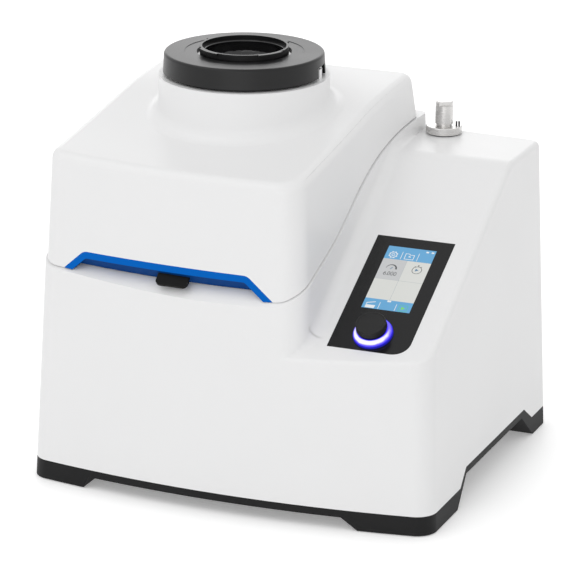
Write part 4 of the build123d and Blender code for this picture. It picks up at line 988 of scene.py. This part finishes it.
@dataclass
class Housing(SubAssembly):
    """White housing with the soft bead that joins its block to the sloped console."""

    slope: float = math.radians(28.3)
    slope_point: tuple[float, float] = (-21.3 * MM, 256.5 * MM)
    plateau: float = 315.5 * MM
    blend: float = 55.0 * MM
    wall_x: float = 80.3 * MM
    wall_z: float = 235.0 * MM
    wall_lean: float = 0.055
    corner: float = 28.0 * MM
    front_y: float = -199.0 * MM
    front_z: float = 12.9 * MM
    front_lean: float = math.tan(math.radians(4.9))
    front_bow: float = 1163.0 * MM
    bead: float = 13.0 * MM
    bead_end: float = 4.0 * MM
    bead_least: float = 0.2 * MM
    bead_last_y: float = 150.0 * MM
    narrow_from_y: float = 60.0 * MM
    narrow_over: float = 85.0 * MM
    corner_x: float = 70.0 * MM
    corner_share: float = 0.74
    corner_fade: float = 0.7
    corner_rows: int = 14
    straight_rows: int = 40
    across: int = 20

    def build(self, outfit: Outfit) -> None:
        """Dress the housing and add the bead."""
        outfit.wear(Finish.BODY, "housing_shell", angle=30.0)
        outfit.own(self.make_bead(), "housing", Finish.BODY)

    def make_bead(self) -> bpy.types.Object:
        """Concave bead between the block and the console, fading out at both ends."""
        rows = [self._corner_row(step / self.corner_rows) for step in range(self.corner_rows, 0, -1)]
        rows += [self._straight_row(step / self.straight_rows) for step in range(self.straight_rows + 1)]
        shape = bmesh.new()
        grid = [[shape.verts.new(point) for point, _ in row] for row in rows]
        for first, second in zip(grid, grid[1:]):
            for side in range(self.across):
                shape.faces.new((first[side], first[side + 1], second[side + 1], second[side]))
        piece = to_mesh("console_bead", shape)
        piece.data.polygons.foreach_set("use_smooth", [True] * len(piece.data.polygons))
        piece.data.normals_split_custom_set_from_vertices([normal for row in rows for _, normal in row])
        return piece

    @property
    def _wall(self) -> tuple[Vector, float]:
        """Normal and distance of the block's right wall."""
        normal = Vector((1.0, 0.0, self.wall_lean))
        length = normal.length
        return normal / length, (self.wall_x + self.wall_z * self.wall_lean) / length

    @property
    def _floor(self) -> tuple[Vector, float]:
        """Normal and distance of the sloped console."""
        normal = Vector((0.0, -math.sin(self.slope), math.cos(self.slope)))
        return normal, normal.y * self.slope_point[0] + normal.z * self.slope_point[1]

    def _row(
        self, centre: Vector, wall: Vector, floor: Vector, radius: float
    ) -> list[tuple[Vector, Vector]]:
        """Points and normals across the bead, from the wall down to the floor."""
        angle = wall.angle(floor)
        row = []
        for side in range(self.across + 1):
            share = side / self.across
            blend = wall * math.sin((1 - share) * angle) + floor * math.sin(share * angle)
            normal = blend / math.sin(angle)
            row.append((centre - normal * radius, normal))
        return row

    def _corner_row(self, share: float) -> list[tuple[Vector, Vector]]:
        """Row of the bead around the block's round front corner; share runs from the wall to the front."""
        wall, reach = self._wall
        floor, height = self._floor
        bow = self.corner_x / self.front_bow
        front = Vector((bow, -1.0, self.front_lean))
        drop = self.front_bow - math.sqrt(self.front_bow ** 2 - self.corner_x ** 2)
        spot = Vector((self.corner_x, self.front_y + drop, self.front_z))
        front_reach = front.dot(spot) / front.length
        front.normalize()
        along = wall.cross(front).normalized()
        reaches = Vector((reach - self.corner, front_reach - self.corner, 0.0))
        inner = Matrix((wall, front, along)).inverted() @ reaches
        angle = wall.angle(front)
        turn = share * self.corner_share
        normal = (wall * math.sin((1 - turn) * angle) + front * math.sin(turn * angle)) / math.sin(angle)
        radius = self.bead * (1 - share) ** self.corner_fade + self.bead_least
        near = inner + normal * (self.corner + radius)
        centre = near + along * ((height + radius - floor.dot(near)) / floor.dot(along))
        return self._row(centre, normal, floor, radius)

    def _straight_row(self, share: float) -> list[tuple[Vector, Vector]]:
        """Row of the bead along the block's flat wall, from the front corner to the plateau."""
        wall, reach = self._wall
        floor, _ = self._floor
        start = self._corner_row(0.0)[0][0].y
        y = start + (self.bead_last_y - start) * share
        foot = self._floor_point(y)
        late = min(max((y - self.narrow_from_y) / self.narrow_over, 0.0), 1.0)
        radius = self.bead + (self.bead_end - self.bead) * late
        centre = Vector((0.0, foot[0], foot[1])) + foot[2] * radius
        centre.x = (reach + radius - wall.dot(centre)) / wall.x
        return self._row(centre, wall, foot[2], radius)

    def _floor_point(self, y: float) -> tuple[float, float, Vector]:
        """Point and normal of the console, the bend or the plateau at a depth."""
        slope = math.tan(self.slope)
        bend_y = self.slope_point[0] + (self.plateau - self.slope_point[1]) / slope
        tangent = self.blend * math.tan(self.slope / 2)
        first = bend_y - tangent * math.cos(self.slope)
        last = bend_y + tangent
        if y <= first:
            return y, self.slope_point[1] + (y - self.slope_point[0]) * slope, self._floor[0]
        if y >= last:
            return y, self.plateau, Vector((0.0, 0.0, 1.0))
        angle = math.asin((last - y) / self.blend)
        normal = Vector((0.0, -math.sin(angle), math.cos(angle)))
        return y, self.plateau - self.blend + self.blend * math.cos(angle), normal


@dataclass
class Console(SubAssembly):
    """Panel glass with the lit screen, the glowing ring and the knob.

    Places in the picture are in millimetres from the screen's upper left corner.
    """

    corner: Point = (101.9 * MM, -21.3 * MM, 256.5 * MM)
    slope: float = math.radians(28.3)
    screen_width: float = 51.3 * MM
    screen_length: float = 89.0 * MM
    screen_left: float = 16.7 * MM
    screen_top: float = 13.4 * MM
    glass_top: float = 0.2 * MM
    top_bar: float = 18.1
    cell_end: float = 47.0
    low_bar: float = 75.1
    dividers: tuple[float, float] = (17.4, 34.9)

    @property
    def place(self) -> Matrix:
        """Matrix from the panel's own plane to the frame."""
        return Matrix.Translation(self.corner) @ Matrix.Rotation(self.slope, 4, "X")

    def build(self, outfit: Outfit) -> None:
        """Dress the panel, draw the picture and light the ring."""
        outfit.wear(Finish.GLASS, "panel_glass")
        outfit.wear(Finish.DARK, "display_module", "encoder", "encoder_shaft")
        outfit.wear(Finish.KNOB, "knob", angle=40.0)
        outfit.wear(Finish.RING, "light_ring", angle=50.0)
        self.draw_cells(outfit)
        self.draw_bars(outfit)
        self.draw_gear(outfit)
        self.draw_folder(outfit)
        self.draw_gauge(outfit)
        self.draw_clock(outfit)
        self.draw_lid_button(outfit)
        self.draw_start(outfit)

    def plate(
        self, outfit: Outfit, name: str, finish: Finish, runs: Sequence[Run], level: int,
    ) -> None:
        """Lay flat shapes onto the screen.

        Args:
            outfit: Dresses the piece.
            name: Name of the piece.
            finish: Its finish.
            runs: Closed outlines in millimetres from the screen's upper left corner.
            level: 1 for the lowest layer.
        """
        height = self.glass_top + level * 0.04 * MM
        shape = bmesh.new()
        for run in runs:
            corners = [(self.screen_left + x * MM, -self.screen_top - y * MM, height) for x, y in run]
            shape.faces.new([shape.verts.new(corner) for corner in corners])
        shape.normal_update()
        for face in shape.faces:
            if face.normal.z < 0:
                face.normal_flip()
        bmesh.ops.triangulate(shape, faces=shape.faces)
        bmesh.ops.transform(shape, matrix=self.place, verts=shape.verts)
        outfit.own(to_mesh(name, shape), "housing", finish)

    @property
    def width(self) -> float:
        """Width of the picture in millimetres."""
        return self.screen_width / MM

    @property
    def length(self) -> float:
        """Length of the picture in millimetres."""
        return self.screen_length / MM

    def draw_cells(self, outfit: Outfit) -> None:
        """Pale area of the picture with its four cells."""
        half = self.width / 2
        paper = box_run(0, self.top_bar, self.width, self.low_bar)
        shaded = box_run(0, self.top_bar, half, self.cell_end)
        upright = box_run(half - 0.15, self.top_bar, half + 0.15, self.low_bar)
        level = box_run(0, self.cell_end - 0.15, self.width, self.cell_end + 0.15)
        self.plate(outfit, "screen_paper", Finish.PAPER, [paper], 1)
        self.plate(outfit, "screen_shaded", Finish.SHADED, [shaded], 2)
        self.plate(outfit, "screen_lines", Finish.RULE, [upright, level], 3)

    def draw_bars(self, outfit: Outfit) -> None:
        """Blue bars above and below the cells, with dividers, two small marks and a tab."""
        bars = [box_run(0, 0, self.width, self.top_bar), box_run(0, self.low_bar, self.width, self.length)]
        self.plate(outfit, "screen_bars", Finish.SKY, bars, 2)
        lines = []
        for x in self.dividers:
            lines.append(box_run(x - 0.3, self.top_bar - 11.7, x + 0.3, self.top_bar - 0.9))
            lines.append(box_run(x - 0.3, self.low_bar + 4.1, x + 0.3, self.length - 0.5))
        marks = [box_run(x - 1.4, 2.2, x + 1.4, 4.2) for x in (42.6, 48.3)]
        tab = box_run(23.9, self.low_bar + 0.3, 27.9, self.low_bar + 2.6)
        self.plate(outfit, "screen_dividers", Finish.SNOW, lines + marks + [tab], 3)

    def draw_gear(self, outfit: Outfit) -> None:
        """Outlined gear in the upper bar."""
        x, y = 8.4, 12.0
        runs = oval_runs(x, y, 4.1, 4.1, 0.7) + oval_runs(x, y, 1.9, 1.9, 0.7)
        for index in range(8):
            runs.append(ray_run(x, y, 3.9, 4.9, index * 45.0 + 22.5, 0.75))
        self.plate(outfit, "icon_gear", Finish.SNOW, runs, 3)

    def draw_folder(self, outfit: Outfit) -> None:
        """Outlined folder with an arrow in the upper bar."""
        outside = [(20.9, 16.5), (20.9, 8.1), (25.2, 8.1), (26.2, 9.4), (31.0, 9.4), (31.0, 16.5)]
        inside = [(21.6, 15.8), (21.6, 8.8), (24.8, 8.8), (25.8, 10.1), (30.3, 10.1), (30.3, 15.8)]
        arrow = [(24.3, 13.1), (26.0, 11.0), (27.8, 13.1)]
        self.plate(outfit, "icon_folder", Finish.SNOW, [outside], 3)
        self.plate(outfit, "icon_folder_front", Finish.SKY, [inside], 4)
        self.plate(outfit, "icon_arrow", Finish.SNOW, [arrow], 5)

    def draw_gauge(self, outfit: Outfit) -> None:
        """Gauge with a swelling arc, a needle and a plain number in the upper left cell."""
        x, y = 12.4, 31.4
        self.plate(outfit, "icon_gauge", Finish.INK, [swell_run(x, y, 5.3, 180, 366, 0.4, 1.7)], 3)
        self.plate(outfit, "gauge_needle", Finish.MARK, [ray_run(x, y, -1.2, 2.4, 300.0, 0.45)], 3)
        low, half, tall = 38.4, 1.45, 2.7
        digits = oval_runs(7.95, low + 1.0, half, 1.7, 0.6)
        digits.append(swell_run(7.95 - half + 3.4, low + 1.0, 3.1, 180, 246, 0.6, 0.6))
        digits.append(box_run(10.0, low + tall - 0.8, 10.8, low + tall))
        for index in range(3):
            digits += oval_runs(12.3 + index * 3.35, low, half, tall, 0.6)
        self.plate(outfit, "gauge_number", Finish.INK, digits, 3)

    def draw_clock(self, outfit: Outfit) -> None:
        """Stopwatch with a start mark in it, in the upper right cell."""
        x, y = 39.6, 29.6
        runs = oval_runs(x, y, 5.3, 5.3, 0.6)
        runs.append(box_run(x - 0.9, y - 7.1, x + 0.9, y - 6.4))
        runs.append(box_run(x - 0.35, y - 6.4, x + 0.35, y - 5.2))
        runs += [ray_run(x, y, 5.4, 6.6, angle, 0.35) for angle in (235.0, 305.0)]
        play = [(x - 1.7, y - 2.0), (x + 1.9, y), (x - 1.7, y + 2.0)]
        self.plate(outfit, "icon_clock", Finish.INK, runs, 3)
        self.plate(outfit, "icon_play", Finish.MARK, [play], 3)

    def draw_lid_button(self, outfit: Outfit) -> None:
        """Box with an open lid in the lower bar."""
        lower = [(3.3, 84.4), (13.5, 84.2), (13.0, 88.3), (3.3, 88.3)]
        cover = [(3.2, 83.6), (3.5, 81.3), (12.4, 78.9), (12.7, 79.8), (4.4, 82.1), (4.1, 83.7)]
        self.plate(outfit, "icon_lid", Finish.SNOW, [lower, cover], 3)

    def draw_start(self, outfit: Outfit) -> None:
        """Green start mark in its outlined square in the lower bar."""
        x, y = 42.9, 84.0
        corners = {0: 1.4, 1: 1.4, 2: 1.4, 3: 1.4}
        outside = rounded(box_run(x - 4.8, y - 4.6, x + 4.8, y + 4.4), corners)
        inside = rounded(box_run(x - 3.9, y - 3.7, x + 3.9, y + 3.5), corners)
        play = [(x - 2.0, y - 2.5), (x + 2.5, y), (x - 2.0, y + 2.5)]
        self.plate(outfit, "start_square", Finish.TEAL, [outside], 3)
        self.plate(outfit, "start_square_front", Finish.SKY, [inside], 4)
        self.plate(outfit, "start_mark", Finish.GO, [play], 5)


def box_run(x0: float, y0: float, x1: float, y1: float) -> Run:
    """Corners of an upright rectangle."""
    return [(x0, y0), (x1, y0), (x1, y1), (x0, y1)]


def oval_runs(x: float, y: float, across: float, tall: float, thick: float) -> list[Run]:
    """Outlines of the two halves of an oval band.

    Args:
        x: Centre.
        y: Centre.
        across: Half width.
        tall: Half height.
        thick: Thickness of the band.

    Returns:
        Its upper and its lower half.
    """
    halves = []
    for start in (0, 180):
        angles = [math.radians(start + step * 15) for step in range(13)]
        out = [(x + across * math.cos(angle), y + tall * math.sin(angle)) for angle in angles]
        near, low = across - thick, tall - thick
        back = [(x + near * math.cos(angle), y + low * math.sin(angle)) for angle in reversed(angles)]
        halves.append(out + back)
    return halves


def swell_run(
    x: float, y: float, radius: float, start: float, end: float, thin: float, thick: float,
) -> Run:
    """Outline of an arc that grows thicker from its start to its end; angles turn with the clock."""
    steps = 24
    out, back = [], []
    for step in range(steps + 1):
        share = step / steps
        angle = math.radians(start + (end - start) * share)
        half = (thin + (thick - thin) * share) / 2
        out.append((x + (radius + half) * math.cos(angle), y + (radius + half) * math.sin(angle)))
        back.append((x + (radius - half) * math.cos(angle), y + (radius - half) * math.sin(angle)))
    return out + back[::-1]


def ray_run(x: float, y: float, near: float, far: float, angle: float, half: float) -> Run:
    """Outline of a short bar that points away from a centre."""
    along = Vector((math.cos(math.radians(angle)), math.sin(math.radians(angle))))
    aside = Vector((-along.y, along.x)) * half
    inner = Vector((x, y)) + along * near
    outer = Vector((x, y)) + along * far
    return [tuple(corner) for corner in (inner - aside, outer - aside, outer + aside, inner + aside)]


@dataclass
class Post(SubAssembly):
    """Steel post with its flange, two dark studs on it, and the gasket."""

    flange_top: float = 324.4 * MM
    stud_length: float = 4.0 * MM
    stud_radius: float = 1.0 * MM
    studs: tuple[tuple[float, float], ...] = ((113.6 * MM, 179.6 * MM), (116.2 * MM, 180.7 * MM))

    def build(self, outfit: Outfit) -> None:
        """Dress the post and put the studs on its flange."""
        outfit.wear(Finish.POST, "stand_post")
        outfit.wear(Finish.RUBBER, "post_gasket")
        outfit.wear(Finish.SCREWS, "post_nut")
        middle = self.flange_top + self.stud_length / 2
        points = [Vector((x, y, middle)) for x, y in self.studs]
        pattern = stud_pattern(outfit.wardrobe.get(Finish.DARK))
        studs = pattern.make("flange_studs", points, Radius=self.stud_radius, Length=self.stud_length)
        outfit.own(studs, "housing")


@dataclass
class Lid(SubAssembly):
    """White lid with its blue handle, liner, feed tube, hinges and striker."""

    socket_radius: float = 2.0 * MM

    def build(self, outfit: Outfit) -> None:
        """Dress the lid."""
        outfit.wear(Finish.BODY, "lid_shell", angle=30.0)
        outfit.wear(Finish.HANDLE, "lid_handle")
        outfit.wear(Finish.TAB, "latch_tab")
        outfit.wear(Finish.LINER, "lid_liner")
        outfit.wear(Finish.SCREWS, "liner_screws", "lid_striker", "lock_hook")
        outfit.wear(Finish.ALLOY, "feed_tube")
        outfit.wear(Finish.RUBBER, "press_seal")
        outfit.wear(Finish.COAT, "hinge_brackets", "hinge_leaves")
        outfit.wear(Finish.POST, "hinge_pins")
        outfit.wear(Finish.DARK, "lock_actuator")
        self.put_sockets(outfit)

    def put_sockets(self, outfit: Outfit) -> None:
        """Put thin dark hexagons under the heads of the liner's screws, painted shade for their sockets."""
        screws = bpy.data.objects["liner_screws"]
        heads = lowest_points(screws, 4)
        # Thin dark hexagons paint the shade inside the screws' sockets.
        pattern = socket_pattern(outfit.wardrobe.get(Finish.DARK))
        sockets = pattern.make("liner_sockets", heads, Radius=self.socket_radius)
        outfit.own(sockets, "lid")


def lowest_points(node: bpy.types.Object, count: int) -> list[Vector]:
    """Middle of the lowest face of each separate part of a node.

    Args:
        node: The node.
        count: How many parts it has.

    Returns:
        The points, 0.1 mm below the parts.
    """
    found: dict[tuple[int, int], list[Vector]] = {}
    for vertex in node.data.vertices:
        spot = node.matrix_world @ vertex.co
        found.setdefault((round(spot.x / (40 * MM)), round(spot.y / (40 * MM))), []).append(spot)
    groups = sorted(found.values(), key=len)[-count:]
    middles = []
    for group in groups:
        low = min(spot.z for spot in group)
        xs = [spot.x for spot in group]
        ys = [spot.y for spot in group]
        middles.append(Vector(((min(xs) + max(xs)) / 2, (min(ys) + max(ys)) / 2, low - 0.1 * MM)))
    return middles


@dataclass
class Hopper(SubAssembly):
    """Black hopper: cap, seal, glossy funnel and the raised ring around its mouth."""

    def build(self, outfit: Outfit) -> None:
        """Dress the hopper."""
        outfit.wear(Finish.CAP, "hopper_cap", "bayonet_ring")
        outfit.wear(Finish.FUNNEL, "hopper_funnel")
        outfit.wear(Finish.RUBBER, "hopper_seal")


@dataclass
class Chamber(SubAssembly):
    """Steel bowl with the cassette, the ring sieve and the rotor."""

    def build(self, outfit: Outfit) -> None:
        """Dress the chamber."""
        outfit.wear(Finish.STAINLESS, "chamber_bowl", "cassette", "ring_sieve", "rotor")
        outfit.wear(Finish.RUBBER, "chamber_gasket")
        outfit.wear(Finish.LINER, "cassette_lid")
        outfit.wear(Finish.SHAFT, "spindle_shaft", "labyrinth_disc")


@dataclass
class Drive(SubAssembly):
    """Motor with its plate, mounts and frame."""

    def build(self, outfit: Outfit) -> None:
        """Dress the drive."""
        outfit.wear(Finish.ALLOY, "motor_housing")
        outfit.wear(Finish.COPPER, "motor_stator")
        outfit.wear(Finish.SHAFT, "motor_rotor", "bearings")
        outfit.wear(Finish.COAT, "motor_plate", "motor_frame")
        outfit.wear(Finish.RUBBER, "rubber_mounts")
        outfit.wear(Finish.SCREWS, "mount_screws")


@dataclass
class Electronics(SubAssembly):
    """Inverter and control board under the console."""

    def build(self, outfit: Outfit) -> None:
        """Dress the electronics."""
        outfit.wear(Finish.ALLOY, "frequency_inverter")
        outfit.wear(Finish.BOARD, "control_board")


@dataclass
class Rear(SubAssembly):
    """Rear panel with the air slots, the fan, the mains inlet and the switch."""

    panel_y: float = 185.0 * MM
    vent_z: float = 236.0 * MM
    vent_step: float = 8.0 * MM
    vent_width: float = 164.0 * MM
    slats: int = 6

    def build(self, outfit: Outfit) -> None:
        """Dress the rear and put slanted slats behind the upper air slots."""
        outfit.wear(Finish.COAT, "rear_panel")
        outfit.wear(Finish.SCREWS, "rear_screws")
        outfit.wear(Finish.DARK, "mains_inlet", "fuse_drawer", "switch_frame", "switch_rocker")
        outfit.wear(Finish.DARK, "fan_housing", "fan_rotor")
        louvre = slat_pattern(outfit.wardrobe.get(Finish.SHEET)).make(
            "rear_louvre",
            [(0.0, self.panel_y - 3.0 * MM, self.vent_z)],
            Count=self.slats,
            Step=self.vent_step,
            Width=self.vent_width,
            Depth=6.0 * MM,
            Thickness=0.8 * MM,
            Tilt=-0.7,
        )
        outfit.own(louvre, "housing")


# Stage

@dataclass
class Studio:
    """Pale floor, soft lights, white background and the camera of the photograph."""

    spot: Point = (1.2384, -3.0336, 1.2364)
    right: Point = (0.92587, 0.37785, 0.0)
    upward: Point = (-0.1166, 0.2857, 0.9512)
    roll: float = math.radians(0.302)
    lens: float = 201.36
    floor_lift: Colour = (0.26, 0.26, 0.26)
    daylight: float = 0.82

    def build(self) -> None:
        """Set the whole stage."""
        bpy.context.scene.view_settings.view_transform = "Standard"
        self.make_floor()
        self.make_lights()
        self.make_world()
        self.make_camera()

    def make_floor(self) -> None:
        """Wide pale floor that keeps the soft shadow."""
        shape = bmesh.new()
        corners = ((-9.0, -9.0), (9.0, -9.0), (9.0, 9.0), (-9.0, 9.0))
        shape.faces.new([shape.verts.new((x, y, 0.0)) for x, y in corners])
        floor = to_mesh("floor", shape)
        board = Board("floor_paper")
        path = board.node("ShaderNodeLightPath")
        seen = Shade(board, path.outputs["Is Camera Ray"]) + Shade(board, path.outputs["Is Glossy Ray"])
        seen = seen + Shade(board, path.outputs["Is Transmission Ray"])
        floor.data.materials.append(board.surface(
            {"Roughness": 0.5, "Emission Strength": 1.0, "Specular IOR Level": 0.3},
            Base_Color=board.mix(board.noise(0.4), (0.93, 0.93, 0.93), (0.95, 0.95, 0.95)),
            Emission_Color=board.mix(seen, (0.0, 0.0, 0.0), self.floor_lift),
        ))
        floor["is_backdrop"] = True

    def add_light(self, name: str, spot: Point, aim: Point, size: tuple[float, float], power: float) -> None:
        """Hang one soft rectangular light.

        Args:
            name: Name of the light.
            spot: Where it hangs.
            aim: The point it faces.
            size: Its two sides.
            power: Its power in watts.
        """
        data = bpy.data.lights.new(name, "AREA")
        data.shape = "RECTANGLE"
        data.size, data.size_y = size
        data.energy = power
        light = bpy.data.objects.new(name, data)
        light.location = spot
        light.rotation_euler = (Vector(aim) - Vector(spot)).to_track_quat("-Z", "Y").to_euler()
        bpy.context.scene.collection.objects.link(light)

    def make_lights(self) -> None:
        """Large soft lights from above, from the front and, low, from behind."""
        self.add_light("top_light", (-0.9, -1.3, 2.4), (0.0, 0.0, 0.2), (2.2, 1.6), 8.0)
        self.add_light("front_light", (0.6, -3.1, 0.9), (0.0, 0.0, 0.2), (2.4, 1.4), 10.0)
        self.add_light("back_light", (-1.1, 2.7, 1.2), (0.0, 0.0, 0.3), (2.6, 1.0), 9.0)

    def make_world(self) -> None:
        """White background for the camera and the glossy rays, a softer one for the light."""
        world = bpy.data.worlds.new("white_room")
        world.use_nodes = True
        tree = world.node_tree
        tree.nodes.clear()
        out = tree.nodes.new("ShaderNodeOutputWorld")
        seen = tree.nodes.new("ShaderNodeBackground")
        seen.inputs[0].default_value = (1.0, 1.0, 1.0, 1.0)
        seen.inputs[1].default_value = 1.0
        light = tree.nodes.new("ShaderNodeBackground")
        light.inputs[0].default_value = (1.0, 1.0, 1.0, 1.0)
        light.inputs[1].default_value = self.daylight
        path = tree.nodes.new("ShaderNodeLightPath")
        mix = tree.nodes.new("ShaderNodeMixShader")
        shown = path.outputs["Is Camera Ray"]
        for ray in ("Is Glossy Ray", "Is Transmission Ray"):
            either = tree.nodes.new("ShaderNodeMath")
            either.operation = "MAXIMUM"
            tree.links.new(shown, either.inputs[0])
            tree.links.new(path.outputs[ray], either.inputs[1])
            shown = either.outputs[0]
        tree.links.new(shown, mix.inputs[0])
        tree.links.new(light.outputs[0], mix.inputs[1])
        tree.links.new(seen.outputs[0], mix.inputs[2])
        tree.links.new(mix.outputs[0], out.inputs[0])
        bpy.context.scene.world = world

    def make_camera(self) -> None:
        """Place the camera as the photograph had it."""
        data = bpy.data.cameras.new("camera")
        data.lens = self.lens
        data.sensor_width = 36.0
        data.clip_end = 50.0
        right, upward = Vector(self.right), Vector(self.upward)
        turned_right = right * math.cos(self.roll) + upward * math.sin(self.roll)
        turned_up = upward * math.cos(self.roll) - right * math.sin(self.roll)
        back = turned_right.cross(turned_up)
        camera = bpy.data.objects.new("camera", data)
        turn = Matrix((turned_right, turned_up, back)).transposed()
        camera.matrix_world = Matrix.Translation(self.spot) @ turn.to_4x4()
        bpy.context.scene.collection.objects.link(camera)
        bpy.context.scene.camera = camera


def plain(bounds: object) -> object:
    """Bounds as plain lists of numbers."""
    if isinstance(bounds, dict):
        return {key: plain(value) for key, value in bounds.items()}
    if isinstance(bounds, (int, float, str)) or bounds is None:
        return bounds
    return [plain(value) for value in bounds]


def main() -> None:
    """Build the whole scene and report each sub-assembly."""
    logging.basicConfig(level=logging.INFO, format="%(message)s")
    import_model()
    before = plain(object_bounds())
    outfit = Outfit(Wardrobe())
    parts = (
        Tray(), Housing(), Console(), Post(), Lid(), Hopper(), Chamber(), Drive(), Electronics(), Rear()
    )
    for part in parts:
        dressed = outfit.pieces
        part.build(outfit)
        LOG.info("%s: %d pieces", type(part).__name__.lower(), outfit.pieces - dressed)
    Studio().build()
    after = plain(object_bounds())


if __name__ == "__main__":
    main()
